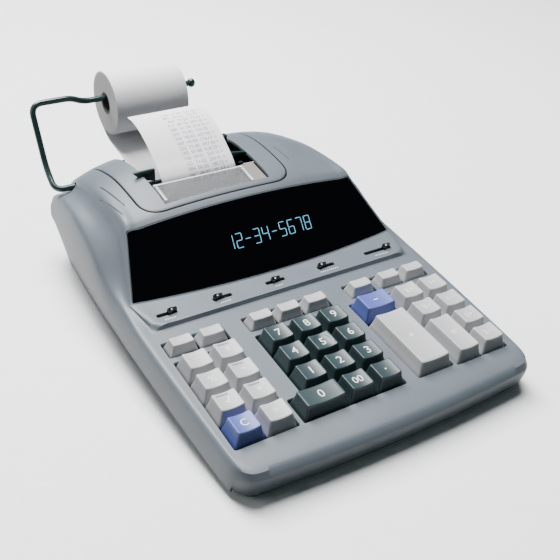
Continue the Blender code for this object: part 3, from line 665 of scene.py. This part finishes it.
def grooveCutter(start, stop):
    start, stop = Vector(start), Vector(stop)
    along = (stop - start).normalized()
    across = Vector((along.y, -along.x)) * grooves["width"] / 2
    spots = [start.lerp(stop, i / 10) for i in range(11)]
    rings = []
    for reach, rise in ((0.3, -grooves["depth"]), (1.0, 0.0), (2.6, 1.2)):
        loop = [spot + across * reach for spot in spots] + [spot - across * reach for spot in spots[::-1]]
        rings.append([place(p.x, p.y, skinHeight(p.x, p.y) + rise) for p in loop])
    return loftMesh("cutter", rings)


def makeCasing():
    shell = plainObject("casing_top", sheetMesh("casing_top", worldRows(skin)))
    thicken(shell, casing["wall"])
    level, chamfer = casing["deckLevel"], wells["chamfer"]
    steps = ((wells["depth"], 0), (level - chamfer, 0), (level + chamfer, 2 * chamfer),
             (wells["above"], 2 * chamfer))
    for corners in wellOutlines():
        carve(shell, deckCutter(roundLoop(corners, wells["corner"]), steps))
    level = casing["panelLevel"]
    front, rear = (slides["v"] + side * slides["slotWidth"] / 2 for side in (-1, 1))
    for x, length, knobX in slides["slots"].values():
        outline = roundLoop(boxOutline(x - length / 2, x + length / 2, front, rear), slides["slotCorner"])
        steps = ((level - 8, 0), (level - 0.2, 0), (level + 0.2, 0.4), (level + 3, 0.4))
        carve(shell, deckCutter(outline, steps))
    carve(shell, topCutter(hatchOutline(), hatch["lip"], hatch["gap"]))
    for line in grooves["lines"]:
        carve(shell, grooveCutter(*line))
    hole = bmesh.new()
    radius = casing["armHole"] * u
    bmesh.ops.create_cone(hole, cap_ends=True, segments=32, radius1=radius, radius2=radius, depth=30 * u)
    bmesh.ops.rotate(hole, matrix=Matrix.Rotation(pi / 2, 3, 'Y'), verts=hole.verts)
    bmesh.ops.translate(hole, vec=place(*armPivot), verts=hole.verts)
    carve(shell, meshFrom(hole, "cutter"))
    carve(shell, lensCutter(), folded=True)
    piece("casing_top", settle(shell), casingGrey, "casing", ["upper_casing"], 32)
    print("upper casing made")


makeCasing()


# Lower casing: a tray that tucks in below the seam.
tray = {
    "floor": -36.4,
    "seamGap": 1.1,
    "inset": 0.6,
    "middleY": 70.0,    # the tray narrows towards this line
    "halfDepth": 142.0,
}


def drawIn(x, y, inset):    # moves a point of the outline towards the middle
    return x - x / casing["halfWidth"] * inset, y + (tray["middleY"] - y) / tray["halfDepth"] * inset


def seamLoop(inset, level):
    half = np.concatenate([skin[0, middleColumn:], skin[1:-1, -1], skin[-1, :middleColumn:-1]])
    ring = [drawIn(x, y, inset) for x, y, z in half]
    ring += [(-x, y) for x, y in reversed(ring[1:-1])]
    return [(x, y, deckZ(y, level)) for x, y in ring]


def makeTray():
    floor, level = tray["floor"], casing["seamLevel"] - tray["seamGap"]
    outer = seamLoop(tray["inset"], casing["seamLevel"])
    tucks = [min(2.2 + 0.22 * (z - floor), 7.0) for x, y, z in outer]

    def tuckedRing(extra, height):
        return [(*drawIn(x, y, tuck + extra), height) for (x, y, z), tuck in zip(outer, tucks)]

    def rim(inset, drop):
        return [(x, y, max(z - drop, floor + 0.6)) for x, y, z in seamLoop(inset, level)]

    rings = [tuckedRing(0.8, floor), tuckedRing(0.2, floor + 0.3), tuckedRing(0, floor + 0.9),
             rim(1.0, 0.9), rim(0.75, 0.25), rim(1.1, 0.0), rim(3.0, 0.0)]
    inner = tuckedRing(2.2, floor + 1.8)
    rings.append([(x, y, min(z, top[2] - 0.05)) for (x, y, z), top in zip(inner, rings[-1])])
    mesh = loftMesh("casing_tray", [[place(*point) for point in ring] for ring in rings])
    piece("casing_tray", mesh, trayGrey, "casing", ["bottom_casing"], 40)


makeTray()
print("tray made")


# Keys: rounded skirts, sloping sides and a top that dips between its left and right edges.
def capTop(cap, dx, dy, dished=False):    # height of a cap's top over the keyboard
    halfTop = cap["top"][0] / 2
    height = cap["height"] - cap["dip"] * max(1 - (dx / halfTop) ** 2, 0)
    reach = (dx ** 2 + dy ** 2) / caps["dish"] ** 2
    if dished and reach < 1:
        height -= caps["dishDepth"] * (1 - reach) ** 0.6
    return height


def capRing(x, v, halfX, halfY, corner, height):    # height is a number or a rule for each point
    rule = height if callable(height) else lambda a, b: height
    return [onDeck(x + a, v + b, rule(a, b)) for a, b in roundRect(halfX, halfY, corner, 5, 9)]


def capMesh(name, cap, x, v, dished):
    baseX, baseY = (size / 2 for size in cap["base"])
    topX, topY = (size / 2 for size in cap["top"])
    edge, corner, skirt = caps["lowEdge"], caps["corner"], caps["skirtTop"]
    rings = [capRing(x, v, *caps["stem"], 0.5, level) for level in (caps["stemFoot"], edge + 0.4)]
    for rise, grow in ((0.4, -1.2), (0.0, -0.5), (0.0, -0.12), (0.15, 0.0), (1.3, -0.12)):
        rings.append(capRing(x, v, baseX + grow, baseY + grow, corner, edge + rise))
    for share in (0.25, 0.5, 0.75, 1.0):    # the sloping sides, a little hollow
        halfX = baseX - 0.15 + (topX + 0.35 - baseX + 0.15) * share
        halfY = baseY - 0.15 + (topY + 0.35 - baseY + 0.15) * share
        hollow = 0.25 * sin(pi * share)

        def upSide(a, b, share=share):
            return skirt + (capTop(cap, a, b) - 0.75 - skirt) * share

        rings.append(capRing(x, v, halfX - hollow, halfY - hollow, corner, upSide))
    for grow, drop in ((0.22, 0.38), (0.02, 0.12), (-0.3, 0.0)):    # the rounded edge of the top
        rings.append(capRing(x, v, topX + grow, topY + grow, corner,
                             lambda a, b, drop=drop: capTop(cap, a, b) - drop))
    for share in (0.9, 0.8, 0.7, 0.6, 0.45, 0.3, 0.15):
        radius = (topX - 0.3) * share
        ring = roundRect(radius, (topY - 0.3) * share, corner * share, 5, 9)
        if dished:    # rings turn into circles round the dish
            ring = [(radius * cos(atan2(b, a)), radius * sin(atan2(b, a))) for a, b in ring]
        rings.append([onDeck(x + a, v + b, capTop(cap, a, b, dished)) for a, b in ring])
    return loftMesh(name, rings)


def letterMesh(text, size):    # flat lettering in units, centred on its own middle
    curve = bpy.data.curves.new("letters", 'FONT')
    curve.body = text
    curve.size = size
    curve.align_x = 'CENTER'
    curve.resolution_u = 6
    curve.extrude = 0.06
    mesh = settle(plainObject("letters", curve))
    points = np.array([vertex.co for vertex in mesh.vertices])
    middle = (points.min(0) + points.max(0)) / 2
    for vertex in mesh.vertices:
        vertex.co = vertex.co - Vector(middle)
    return mesh


def tickMesh(count, width, height, pitch):  # a short row of printed dashes
    shape = bmesh.new()
    for i in range(count):
        made = bmesh.ops.create_cube(shape, size=1)["verts"]
        bmesh.ops.scale(shape, vec=(width, height, 0.12), verts=made)
        bmesh.ops.translate(shape, vec=((i - (count - 1) / 2) * pitch, 0, 0), verts=made)
    return meshFrom(shape, "ticks")


def layOn(mesh, spot):    # bends flat lettering onto a surface: spot(a, b, rise)
    for vertex in mesh.vertices:
        vertex.co = spot(*vertex.co)
    return mesh


legends = {
    "left": {"a": ("\u2013", "%", "\u221a", "C"), "b": ("\u00b1", "\u00f7", "\u00d7", "=")},
    "rightB": ("%+", "%\u2212"),
    "rightC": ("1+", "1\u2212", "2+", "2\u2212"),
    "lift": 0.07,    # how far the print stands over the cap
    "ticked": ("key_left_a3", "key_left_b1", "key_left_b2", "key_left_b3"),
    "ticks": (6, 0.75, 0.9, 1.15),    # count, width, height and pitch
    "ticksAt": (-1.2, 4.3),
}


def keyPlan():    # node, cap, x, v, kind of plastic, legend, its size
    plan = []

    def add(name, cap, x, v, legend, size, kind="light"):
        plan.append((f"key_{name}", caps[cap], x, v, kind, legend, size))

    smallRow, drop = keySpots["smallRow"], keySpots["rightDrop"]
    for side, x in zip("ab", keyColumns["left"]):
        dots = "\u00b7\u00b7\u00b7" if side == "a" else "\u2013"
        add(f"left_small_{side}", "small", x, smallRow, dots, 4.5)
        for i, v in enumerate(keyRows):
            kind = "blue" if side == "a" and i == 3 else "light"
            add(f"left_{side}{i + 1}", "square", x, v, legends["left"][side][i], 6.5, kind)
    for i, x in enumerate(keyColumns["middle"]):
        add(f"middle_small_{i + 1}", "small", x, smallRow, "\u2013", 4.0)
        for j, v in enumerate(keyRows[:3]):
            digit = 7 + i - 3 * j
            add(f"digit_{digit}", "square", x, v, str(digit), 7.6, "dark")
    add("digit_0", "wide", keySpots["zeroX"], keyRows[3], "0", 7.6, "dark")
    add("digit_00", "square", keyColumns["middle"][1], keyRows[3], "00", 6.6, "dark")
    add("decimal_point", "square", keyColumns["middle"][2], keyRows[3], ".", 9.0, "dark")
    wide, right = keyColumns["wide"], keyColumns["right"]
    add("right_small_1", "small", wide + keySpots["smallShift"], smallRow, "\u2013", 4.0)
    for i, x in enumerate(right):
        add(f"right_small_{i + 2}", "small", x, smallRow, "\u2013", 4.0)
    add("minus", "minus", wide, keySpots["minusV"], "\u2212", 7.0, "blue")
    add("plus", "plus", wide, keySpots["plusV"], "+", 7.5)
    for i, mark in enumerate(legends["rightB"]):
        add(f"right_b{i + 1}", "square", right[0], keyRows[i] - drop, mark, 5.2)
    add("total", "tall", right[0], (keyRows[2] + keyRows[3]) / 2 - drop, "*", 8.0)
    for i, mark in enumerate(legends["rightC"]):
        add(f"right_c{i + 1}", "square", right[1], keyRows[i] - drop, mark, 5.2)
    return plan


def makeKeys():
    finishes = {"light": keyGrey, "blue": keyBlue, "dark": keyDark}
    ticksX, ticksV = legends["ticksAt"]
    for node, cap, x, v, kind, legend, size in keyPlan():
        dished = node == "key_digit_5"
        mesh = capMesh(node, cap, x, v, dished)
        piece(node + "_cap", mesh, finishes[kind], node, [node], 50)

        def onCap(a, b, rise):
            return onDeck(x + a, v + b, capTop(cap, a, b, dished) + legends["lift"] + rise)

        letters = layOn(letterMesh(legend, size), onCap)
        piece(node + "_legend", letters, whiteInk, node, (), 0)
        if node in legends["ticked"]:
            ticks = layOn(tickMesh(*legends["ticks"]), lambda a, b, rise: onCap(a + ticksX, b + ticksV, rise))
            piece(node + "_ticks", ticks, darkInk, node, (), 0)


makeKeys()
print("keys made")


# Slide knobs: glossy saddles, with a row of printed ticks under each slot.
knob = {
    "half": (3.25, 2.4),
    "height": 3.1,
    "hollow": 0.3,    # depth of the finger hollow
    "lift": 0.3,    # its foot over the panel
    "shank": (2.2, 0.9, 5.0),
    "marksDown": 4.6,
    "ticks": {"switch_power": 5, "switch_mode": 5, "switch_rounding": 4, "switch_rate": 9,
              "switch_decimals": 7},
}


def knobRing(x, level):    # a share of the oval, and a rule for the height from the saddle at each point
    share, rule = level
    (halfX, halfY), base = knob["half"], casing["panelLevel"] + knob["lift"]
    ring = []
    for k in range(24):
        angle = 2 * pi * k / 24
        saddle = 0.25 + 0.75 * abs(cos(angle)) ** 1.5
        ring.append(onDeck(x + halfX * share * cos(angle), slides["v"] + halfY * share * sin(angle),
                           base + rule(saddle)))
    return ring


def makeKnobs():
    base, height = casing["panelLevel"] + knob["lift"], knob["height"]
    halfX, halfY, reach = knob["shank"]
    for node, ticks in knob["ticks"].items():
        slotX, length, x = slides["slots"][node]
        rings = [[onDeck(x + a, slides["v"] + b, level) for a, b in roundRect(halfX, halfY, 0.3, 3)]
                 for level in (base - reach, base)]
        levels = [(share, lambda saddle, rise=rise: rise)
                  for share, rise in ((0.86, 0.0), (1.0, 0.25), (1.0, 1.5))]
        levels += [(share, lambda saddle, rise=rise: rise * saddle)
                   for share, rise in ((0.97, 2.3), (0.9, 2.8), (0.8, height))]
        for share, sink in ((0.62, 0.45), (0.4, 0.85), (0.15, 1.0)):

            def inHollow(saddle, share=share, sink=sink):
                return max(0.62 + (height * saddle - 0.62) * share / 0.8 - knob["hollow"] * sink, 0.9)

            levels.append((share, inHollow))
        rings += [knobRing(x, level) for level in levels]
        piece(node + "_knob", loftMesh(node, rings), knobBlack, node, [node], 60)

        def underSlot(a, b, rise):
            return onDeck(slotX + a, slides["v"] - knob["marksDown"] + b, casing["panelLevel"] + 0.03 + rise)

        marks = layOn(tickMesh(ticks, 0.55, 0.8, 1.5), underSlot)
        piece(node + "_marks", marks, whiteInk, "casing", (), 0)


makeKnobs()
print("knobs made")


# Display: a dark curved window, with glowing digits lying just over its surface.
display = {
    "reading": "12-34-5678",
    "digit": (4.1, 9.6),    # width and height of one figure
    "pitch": 6.35,
    "stroke": 0.5,
    "slant": 0.12,
    "at": (7.0, 78.6),    # middle of the reading: x, y
}
# The seven bars are top, upper left and right, middle, lower left and right, foot. Each figure lights some.
segments = {
    "1": (2, 5), "2": (0, 2, 3, 4, 6), "3": (0, 2, 3, 5, 6), "4": (1, 2, 3, 5), "5": (0, 1, 3, 5, 6),
    "6": (0, 1, 3, 4, 5, 6), "7": (0, 2, 5), "8": (0, 1, 2, 3, 4, 5, 6), "9": (0, 1, 2, 3, 5, 6),
    "0": (0, 1, 2, 4, 5, 6), "-": (3,),
}


def makeDisplay():
    sheet = plainObject("lens", sheetMesh("lens", worldRows(lensRows(0.0, 28))))
    thicken(sheet, lens["thickness"])
    piece("display_lens", settle(sheet), lensBlack, "casing", ["display_window"], 40)


def segmentMesh():
    width, height = display["digit"]
    half, stroke = height / 2, display["stroke"] / 2
    bars = [((0, height), (width, height)), ((0, height), (0, half)), ((width, height), (width, half)),
            ((0, half), (width, half)), ((0, half), (0, 0)), ((width, half), (width, 0)),
            ((0, 0), (width, 0))]
    shape = bmesh.new()
    start = -len(display["reading"]) * display["pitch"] / 2
    for i, figure in enumerate(display["reading"]):
        for number in segments[figure]:
            begin, stop = (Vector((*end, 0)) for end in bars[number])
            along = (stop - begin).normalized()
            across = Vector((-along.y, along.x, 0)) * stroke
            begin, stop, tip = begin + along * 0.35, stop - along * 0.35, along * stroke
            outline = [begin - tip, begin - across, stop - across, stop + tip, stop + across, begin + across]
            rings = []
            for rise in (-0.05, 0.05):
                rings.append([shape.verts.new((start + i * display["pitch"] + p.x + p.y * display["slant"],
                                               p.y - half, rise)) for p in outline])
            for a in range(6):
                b = (a + 1) % 6
                shape.faces.new((rings[0][a], rings[0][b], rings[1][b], rings[1][a]))
            shape.faces.new(rings[0][::-1])
            shape.faces.new(rings[1])
    return meshFrom(shape, "digits")


def lensPoint(x, y):    # the window's surface over x, y, for y in its middle column
    ys = skin[lensStart:lensEnd + 1, middleColumn, 1]
    at = np.interp(y, ys, np.arange(len(ys)))
    i = min(int(at), len(ys) - 2)
    lower, upper = skin[lensStart + i:lensStart + i + 2]
    row = lower + (upper - lower) * (at - i)
    return Vector((x, np.interp(x, row[:, 0], row[:, 1]), np.interp(x, row[:, 0], row[:, 2])))


def makeDigits():
    x, y = display["at"]
    slope = 0.72    # how far y moves for each unit up the window

    def onLens(a, b, rise):
        point = lensPoint(x + a, y + b * slope)
        return place(point.x, point.y - rise * 0.66 - 0.08, point.z + rise * 0.75 + 0.08)

    piece("display_digits", layOn(segmentMesh(), onLens), segmentGlow, "casing", (), 0)


makeDisplay()
makeDigits()
print("display made")


# Printer cover: U-shaped hatch round the mouth, with the dark wings that steer the paper.
wings = {
    "left": ((-43.3, 40.4), (-43.3, 48.9), (-59.0, 48.9), (-54.5, 44.6), (-50.0, 42.2)),
    "right": ((11.3, 40.4), (18.5, 40.4), (19.2, 44.8), (24.8, 45.3), (24.8, 46.8), (19.2, 47.8),
              (11.3, 48.9)),
    "y": (140.2, 142.2),
    "softness": 0.35,
}
tearBar = {
    "x": (-50.7, 12.6),
    "reach": (19.0, 20.0),    # to the foot and the tip of each tooth
    "teeth": 58,
    "slope": radians(10),
    "from": (109.1, 40.4),
    "thickness": 1.2,
    "railWidth": 1.6,
}


def makeCover():
    xs = np.linspace(hatch["x"][0] - 4, hatch["x"][1] + 4, 45)
    rows = [[(x, y, skinHeight(x, y)) for x in xs] for y in np.linspace(*hatch["sheetY"], 44)]
    sheet = plainObject("cover", sheetMesh("cover", worldRows(rows)))
    thicken(sheet, hatch["thickness"])
    rear = hatch["y"][1]
    carve(sheet, topCutter(hatchOutline(hatch["gap"]), -hatch["lip"]), 'INTERSECT')
    mouth = roundLoop(boxOutline(*hatch["mouthX"], hatch["mouthY"], rear + 12), 1.2)
    carve(sheet, topCutter([Vector((p.x, min(p.y, rear + 2))) for p in mouth], hatch["lip"]))
    piece("cover_shell", settle(sheet), casingGrey, "printer_cover", ["printer_cover"], 32)
    for side in ("left", "right"):
        ends = [[place(x, y, z) for x, z in wings[side]] for y in wings["y"]]
        made = plainObject("wing", loftMesh("wing", ends))
        softEdges(made, wings["softness"])
        piece("cover_wing_" + side, settle(made), guideGreen, "printer_cover", (), 40)


def onBar(x, along, rise):    # a point on the tilted clear plate
    y, z = tearBar["from"]
    slope = tearBar["slope"]
    return place(x, y + along * cos(slope) - rise * sin(slope), z + along * sin(slope) + rise * cos(slope))


def barMesh(name, outline, rises):    # an outline of (x, along) between or through heights over the plate
    return loftMesh(name, [[onBar(x, along, rise) for x, along in outline] for rise in rises])


def railMesh(low, high):    # ribbed along its top, falling towards the front
    start = tearBar["reach"][0] - 1.2
    outline = [(1.0, 0.1), (start, 0.1)]
    for i in range(6):
        along, fall = start - i * 2.8, 0.1 * i
        outline += [(along, 1.6 - fall), (along - 1.6, 1.5 - fall), (along - 1.9, 0.9), (along - 2.5, 0.9)]
    return loftMesh("rail", [[onBar(x, along, rise) for along, rise in outline] for x in (low, high)])


def makeTearBar():
    (left, right), (foot, tip) = tearBar["x"], tearBar["reach"]
    pitch, width = (right - left) / tearBar["teeth"], tearBar["railWidth"]
    saw = []
    for i in range(tearBar["teeth"]):
        saw += [(left + i * pitch, foot), (left + (i + 0.5) * pitch, tip)]
    saw.append((right, foot))
    mesh = barMesh("tear_plate", [(right, 0.0), (left, 0.0)] + saw, (-tearBar["thickness"], 0))
    piece("tear_plate", mesh, clearPlate, "printer_cover", ["tear_bar"], 0)
    # A thin white strip along the saw teeth is a painted highlight on the clear plate's edge.
    strip = [(x, along + 0.02) for x, along in saw] + [(right, foot - 0.55), (left, foot - 0.55)]
    mesh = barMesh("tear_edge", strip, (0.02, 0.14))
    piece("tear_edge", mesh, paintedHighlightWhite, "printer_cover", (), 0)
    # The rails are real brackets of clear plastic; their white colour is a painted highlight.
    mesh = joinMeshes("tear_rails", [railMesh(start, start + width) for start in (left, right - width)])
    piece("tear_rails", mesh, paintedHighlightWhite, "printer_cover", (), 30)
    ledge = roundLoop(boxOutline(right + 0.4, hatch["mouthX"][1] - 0.3, 0.6, 21.0), 0.8)
    rings = [[onBar(p.x, p.y, rise) for p in growLoop(ledge, grow)]
             for rise, grow in ((-1.8, 0), (-0.6, 0), (-0.35, -0.25))]
    piece("mouth_ledge", loftMesh("mouth_ledge", rings), ledgeGrey, "printer_cover", (), 40)


makeCover()
makeTearBar()
print("cover made")


# Wire arm: one rod bent at the pivot, up beside the casing and across through the roll.
arm = {
    "radius": 2.1,
    "rod": (220.0, 70.2),
    "legX": -95.4,
    "lift": 3.9,
    "dropX": (-68.0, -59.0),    # where the rod steps down to the roll's axis
    "bend": 8.0,
    "endX": 20.6,
    "tip": 3.3,    # radius of the round end
}


def makeArm():
    (pivotX, *foot), (y, z), legX = armPivot, arm["rod"], arm["legX"]
    high, (dropStart, dropEnd) = z + arm["lift"], arm["dropX"]
    corners = [(pivotX + 4, *foot), (legX, *foot), (legX, foot[0] + 14, foot[1] + 10), (legX, y, high),
               (dropStart, y, high), (dropEnd, y, z), (arm["endX"], y, z)]
    points = roundPath(corners, arm["bend"], 10)
    sizes = [arm["radius"]] * len(points)
    for i in range(13):
        angle = radians(-62 + 152 * i / 12)
        points.append(Vector(corners[-1]) + Vector((3.0 * (sin(angle) + 0.85), 0, 0)))
        sizes.append(max(0.25, cos(angle) * arm["tip"]))
    curve = bpy.data.curves.new("arm_wire", 'CURVE')
    curve.dimensions = '3D'
    curve.bevel_depth = u
    curve.bevel_resolution = 6
    curve.use_fill_caps = True
    line = curve.splines.new('POLY')
    line.points.add(len(points) - 1)
    for spot, point, size in zip(line.points, points, sizes):
        spot.co = (*place(*point), 1)
        spot.radius = size
    mesh = settle(plainObject("arm_wire", curve))
    piece("arm_wire", mesh, armPaint, "paper_arm", ["paper_arm"], 60)


makeArm()
print("arm made")


# Paper roll: wound paper on a card core, and the web that leads to the mouth and out of it.
roll = {
    "radius": 22.0,
    "bore": 6.45,
    "core": 7.6,
    "middle": paperMiddle - 0.5,
    "facets": 120,
    "winds": 9,    # faint steps on the wound ends
    "edge": 0.12,
}
web = {
    "halfThickness": 0.08,
    "columns": 44,
    "platenGap": 6.8,    # radius of the bend round the platen
    "toothed": 0.35,    # depth of the torn end
}


def turned(name, profile, centre, facets):    # a closed profile of (x, radius) turned about an X axis
    rings = []
    for k in range(facets):
        angle = 2 * pi * k / facets
        rings.append([place(x, centre[0] + r * cos(angle), centre[1] + r * sin(angle)) for x, r in profile])
    return loftMesh(name, rings, looped=True)


def makeRoll():
    low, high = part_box("paper_roll")
    centre = ((low.y + high.y) / 2 / u - originY / u, (low.z + high.z) / 2 / u - originZ / u)
    left, right = roll["middle"] - paperHalf, roll["middle"] + paperHalf
    radius, core, edge, winds = (roll[name] for name in ("radius", "core", "edge", "winds"))
    inner = core + 0.1
    profile = [(right - edge, radius), (left + edge, radius)]
    for side, sign in ((left, 1), (right, -1)):
        face = [(side + sign * (0.05 if i % 2 else 0.12), inner + (radius - edge - core - 0.1) * i / winds)
                for i in range(winds + 1)]
        profile += face[::-1] if sign > 0 else face
    mesh = turned("roll_paper", profile, centre, roll["facets"])
    mesh.materials.append(paperWhite)
    mesh.materials.append(paperEdge)
    for face in mesh.polygons:
        if abs(face.normal.x) > 0.5:
            face.material_index = 1
    piece("roll_paper", mesh, paperWhite, "paper_roll", ["paper_roll"], 40)
    # The core's dark colour is partly the card and partly painted shade inside the bore.
    bore = roll["bore"]
    profile = [(right - 0.3, bore), (right - 0.1, bore + 0.2), (right - 0.1, core), (left + 0.1, core),
               (left + 0.1, bore + 0.2), (left + 0.3, bore)]
    mesh = turned("roll_core", profile, centre, 72)
    piece("roll_core", mesh, coreCardWithPaintedShade, "paper_roll", (), 40)
    return centre


rollCentre = makeRoll()


def onCircle(centre, radius, degrees):
    return centre[0] + radius * cos(radians(degrees)), centre[1] + radius * sin(radians(degrees))


def webPath():    # off the roll, down and under the platen, then up through the mouth and over backwards
    path = [onCircle(rollCentre, roll["radius"] + 0.7, -10 - 45 * i / 4) for i in range(5)]
    path += [(222, 40), (208, 36.5), (196, 34.5), (184, 29), (170, 20), (156, 13.6)]
    path += [onCircle(platenAt, web["platenGap"], -100 - 100 * i / 6) for i in range(7)]
    path += [(132.6, 28), (130.8, 36), (131.4, 43), (135.2, 47.6), (140.6, 51.8), (147.6, 57), (155.4, 61.8),
             (164, 65.8), (173.6, 68.4), (183, 68.6)]
    rows = np.array([[(0, *point)] for point in path], float)
    return [Vector(row[0]) for row in refine(rows, 1.2)[0]]


def webFrames():    # point, normal and distance along the web
    path = webPath()
    made, run = [], 0.0
    for i, point in enumerate(path):
        ahead = path[min(i + 1, len(path) - 1)] - path[max(i - 1, 0)]
        normal = Vector((0, -ahead.z, ahead.y)).normalized()
        run += (point - path[i - 1]).length if i else 0
        made.append((point, normal, run))
    return made


def makeWeb():
    frames = webFrames()
    half = web["halfThickness"]
    left = paperMiddle - paperHalf
    width = 2 * paperHalf
    count = web["columns"]
    tear = (frames[-1][0] - frames[-3][0]).normalized() * web["toothed"]
    grids = []
    for side in (1, -1):
        rows = []
        for n, (point, normal, run) in enumerate(frames):
            row = []
            for i in range(count + 1):
                spot = point + normal * half * side
                if n == len(frames) - 1:    # torn along the saw edge
                    spot = spot + tear * (i % 2 - 1)
                row.append(place(left + width * i / count, spot.y, spot.z))
            rows.append(row)
        grids.append(rows)
    mesh = loftMesh("paper_web", [upper + lower[::-1] for upper, lower in zip(*grids)])
    piece("paper_web", mesh, paperWhite, "casing", ["paper_tape"], 60)


receipt = {
    "rows": 15,
    "pitch": 3.9,
    "size": 3.4,
    "firstRow": 8.5,    # distance from the torn end to the first printed row
    "right": 22.0,
}


def receiptLine(number):    # made-up sums, the same on every run
    value = (number * 7919 + 1234) % 90000 + 1000
    sign = ("+", "\u2212", "\u00d7", "=")[number % 4]
    count = number * 37 % 900 + 10
    return f"{count:03d}  {count * 7 % 97:02d}-{value % 89:02d}  {value // 100}.{value % 100:02d} {sign}"


def makeReceipt():
    frames = webFrames()
    end = frames[-1][2]
    runs = [run for point, normal, run in frames]
    meshes = []
    for number in range(receipt["rows"]):
        letters = letterMesh(receiptLine(number), receipt["size"])
        width = max(vertex.co.x for vertex in letters.vertices)
        middle = end - receipt["firstRow"] - (receipt["rows"] - 1 - number) * receipt["pitch"]

        def onWeb(a, b, rise):
            at = np.interp(middle + b, runs, np.arange(len(runs)))
            i = min(int(at), len(frames) - 2)
            point = frames[i][0].lerp(frames[i + 1][0], at - i)
            normal = frames[i][1]
            lift = -(web["halfThickness"] + 0.03) if normal.y > 0 else web["halfThickness"] + 0.03
            point = point + normal * (lift + (rise if lift > 0 else -rise) * 0.5)
            return place(paperMiddle + receipt["right"] - width + a, point.y, point.z)

        meshes.append(layOn(letters, onWeb))
    piece("paper_print", joinMeshes("paper_print", meshes), printInk, "casing", (), 0)


makeWeb()
makeReceipt()
print("paper made")


# Printer works and other CAD pieces keep their shapes and get real finishes.
carried = {
    "printer_frame": (guideGreen, 0.4), "platen_roller": (rubberBlack, 0), "motor_pinion": (brassGear, 0),
    "feed_motor": (motorSteel, 0.4), "ink_roller": (inkFelt, 0.4), "key_mat": (rubberBlack, 0.3),
    "main_board": (boardGreen, 0.2), "display_tube": (tubeGlass, 0.5), "front_foot_strip": (rubberBlack, 0.4),
    "rear_foot_strip": (rubberBlack, 0.4),
}


def finishCarried():
    for name, (finish, edge) in carried.items():
        node = nodes[name]
        node.data.materials.clear()
        node.data.materials.append(finish)
        if edge:
            softEdges(node, edge, 2)


finishCarried()
print("inner pieces finished")


# Room: pale floor, soft lights, and the camera over the left front corner.
room = {
    "floor": (0.92, 0.92, 0.93),
    "world": (0.66, 0.86, 0.86),
    "worldStrength": 0.1,
    "cameraAt": (-253.64, -341.86, 292.22),
    "cameraAhead": (0.4569, 0.7149, -0.5293),
    "cameraRight": (0.8515, -0.5236, 0.0279),
    "lens": 57.13,
    # name, place in metres, target in units, size in metres, watts
    "lights": (("window", (-0.1, 1.0, 1.5), (0, 60, 10), 0.9, 62.0),
               ("overhead", (0.1, 0.3, 1.9), (0, 60, 10), 1.0, 66.0),
               ("fill", (-1.3, 0.35, 0.8), (0, 60, 20), 1.0, 5.0)),
}


def makeRoom():
    shape = bmesh.new()
    bmesh.ops.create_grid(shape, x_segments=2, y_segments=2, size=6)
    ground = plainObject("floor", meshFrom(shape, "floor"))
    ground.location.z = -0.0002
    paint = mouldedFinish("floorPaint", room["floor"], 0.6, grain=300.0, bump=0.02, mottle=0.01)
    ground.data.materials.append(paint)
    ground.visible_diffuse = False    # the floor throws no light back onto the upright faces
    world = bpy.data.worlds.new("studio")
    world.use_nodes = True
    tune(world.node_tree.nodes["Background"], {"Color": (*room["world"], 1), "Strength": room["worldStrength"]})
    bpy.context.scene.world = world
    for name, spot, target, size, power in room["lights"]:
        light = bpy.data.lights.new(name, 'AREA')
        light.shape = 'DISK'
        light.size = size
        light.energy = power
        lamp = plainObject(name, light)
        lamp.location = spot
        lamp.rotation_euler = (place(*target) - Vector(spot)).to_track_quat('-Z', 'Y').to_euler()


def makeCamera():
    camera = bpy.data.cameras.new("camera")
    camera.lens = room["lens"]
    camera.sensor_width = 36.0
    camera.clip_start = 0.01
    made = plainObject("camera", camera)
    ahead, right = Vector(room["cameraAhead"]).normalized(), Vector(room["cameraRight"]).normalized()
    up = right.cross(ahead)
    turn = Matrix((right, up, -ahead)).transposed().to_4x4()
    made.matrix_world = Matrix.Translation(place(*room["cameraAt"])) @ turn
    bpy.context.scene.camera = made


makeRoom()
makeCamera()
print("room made")
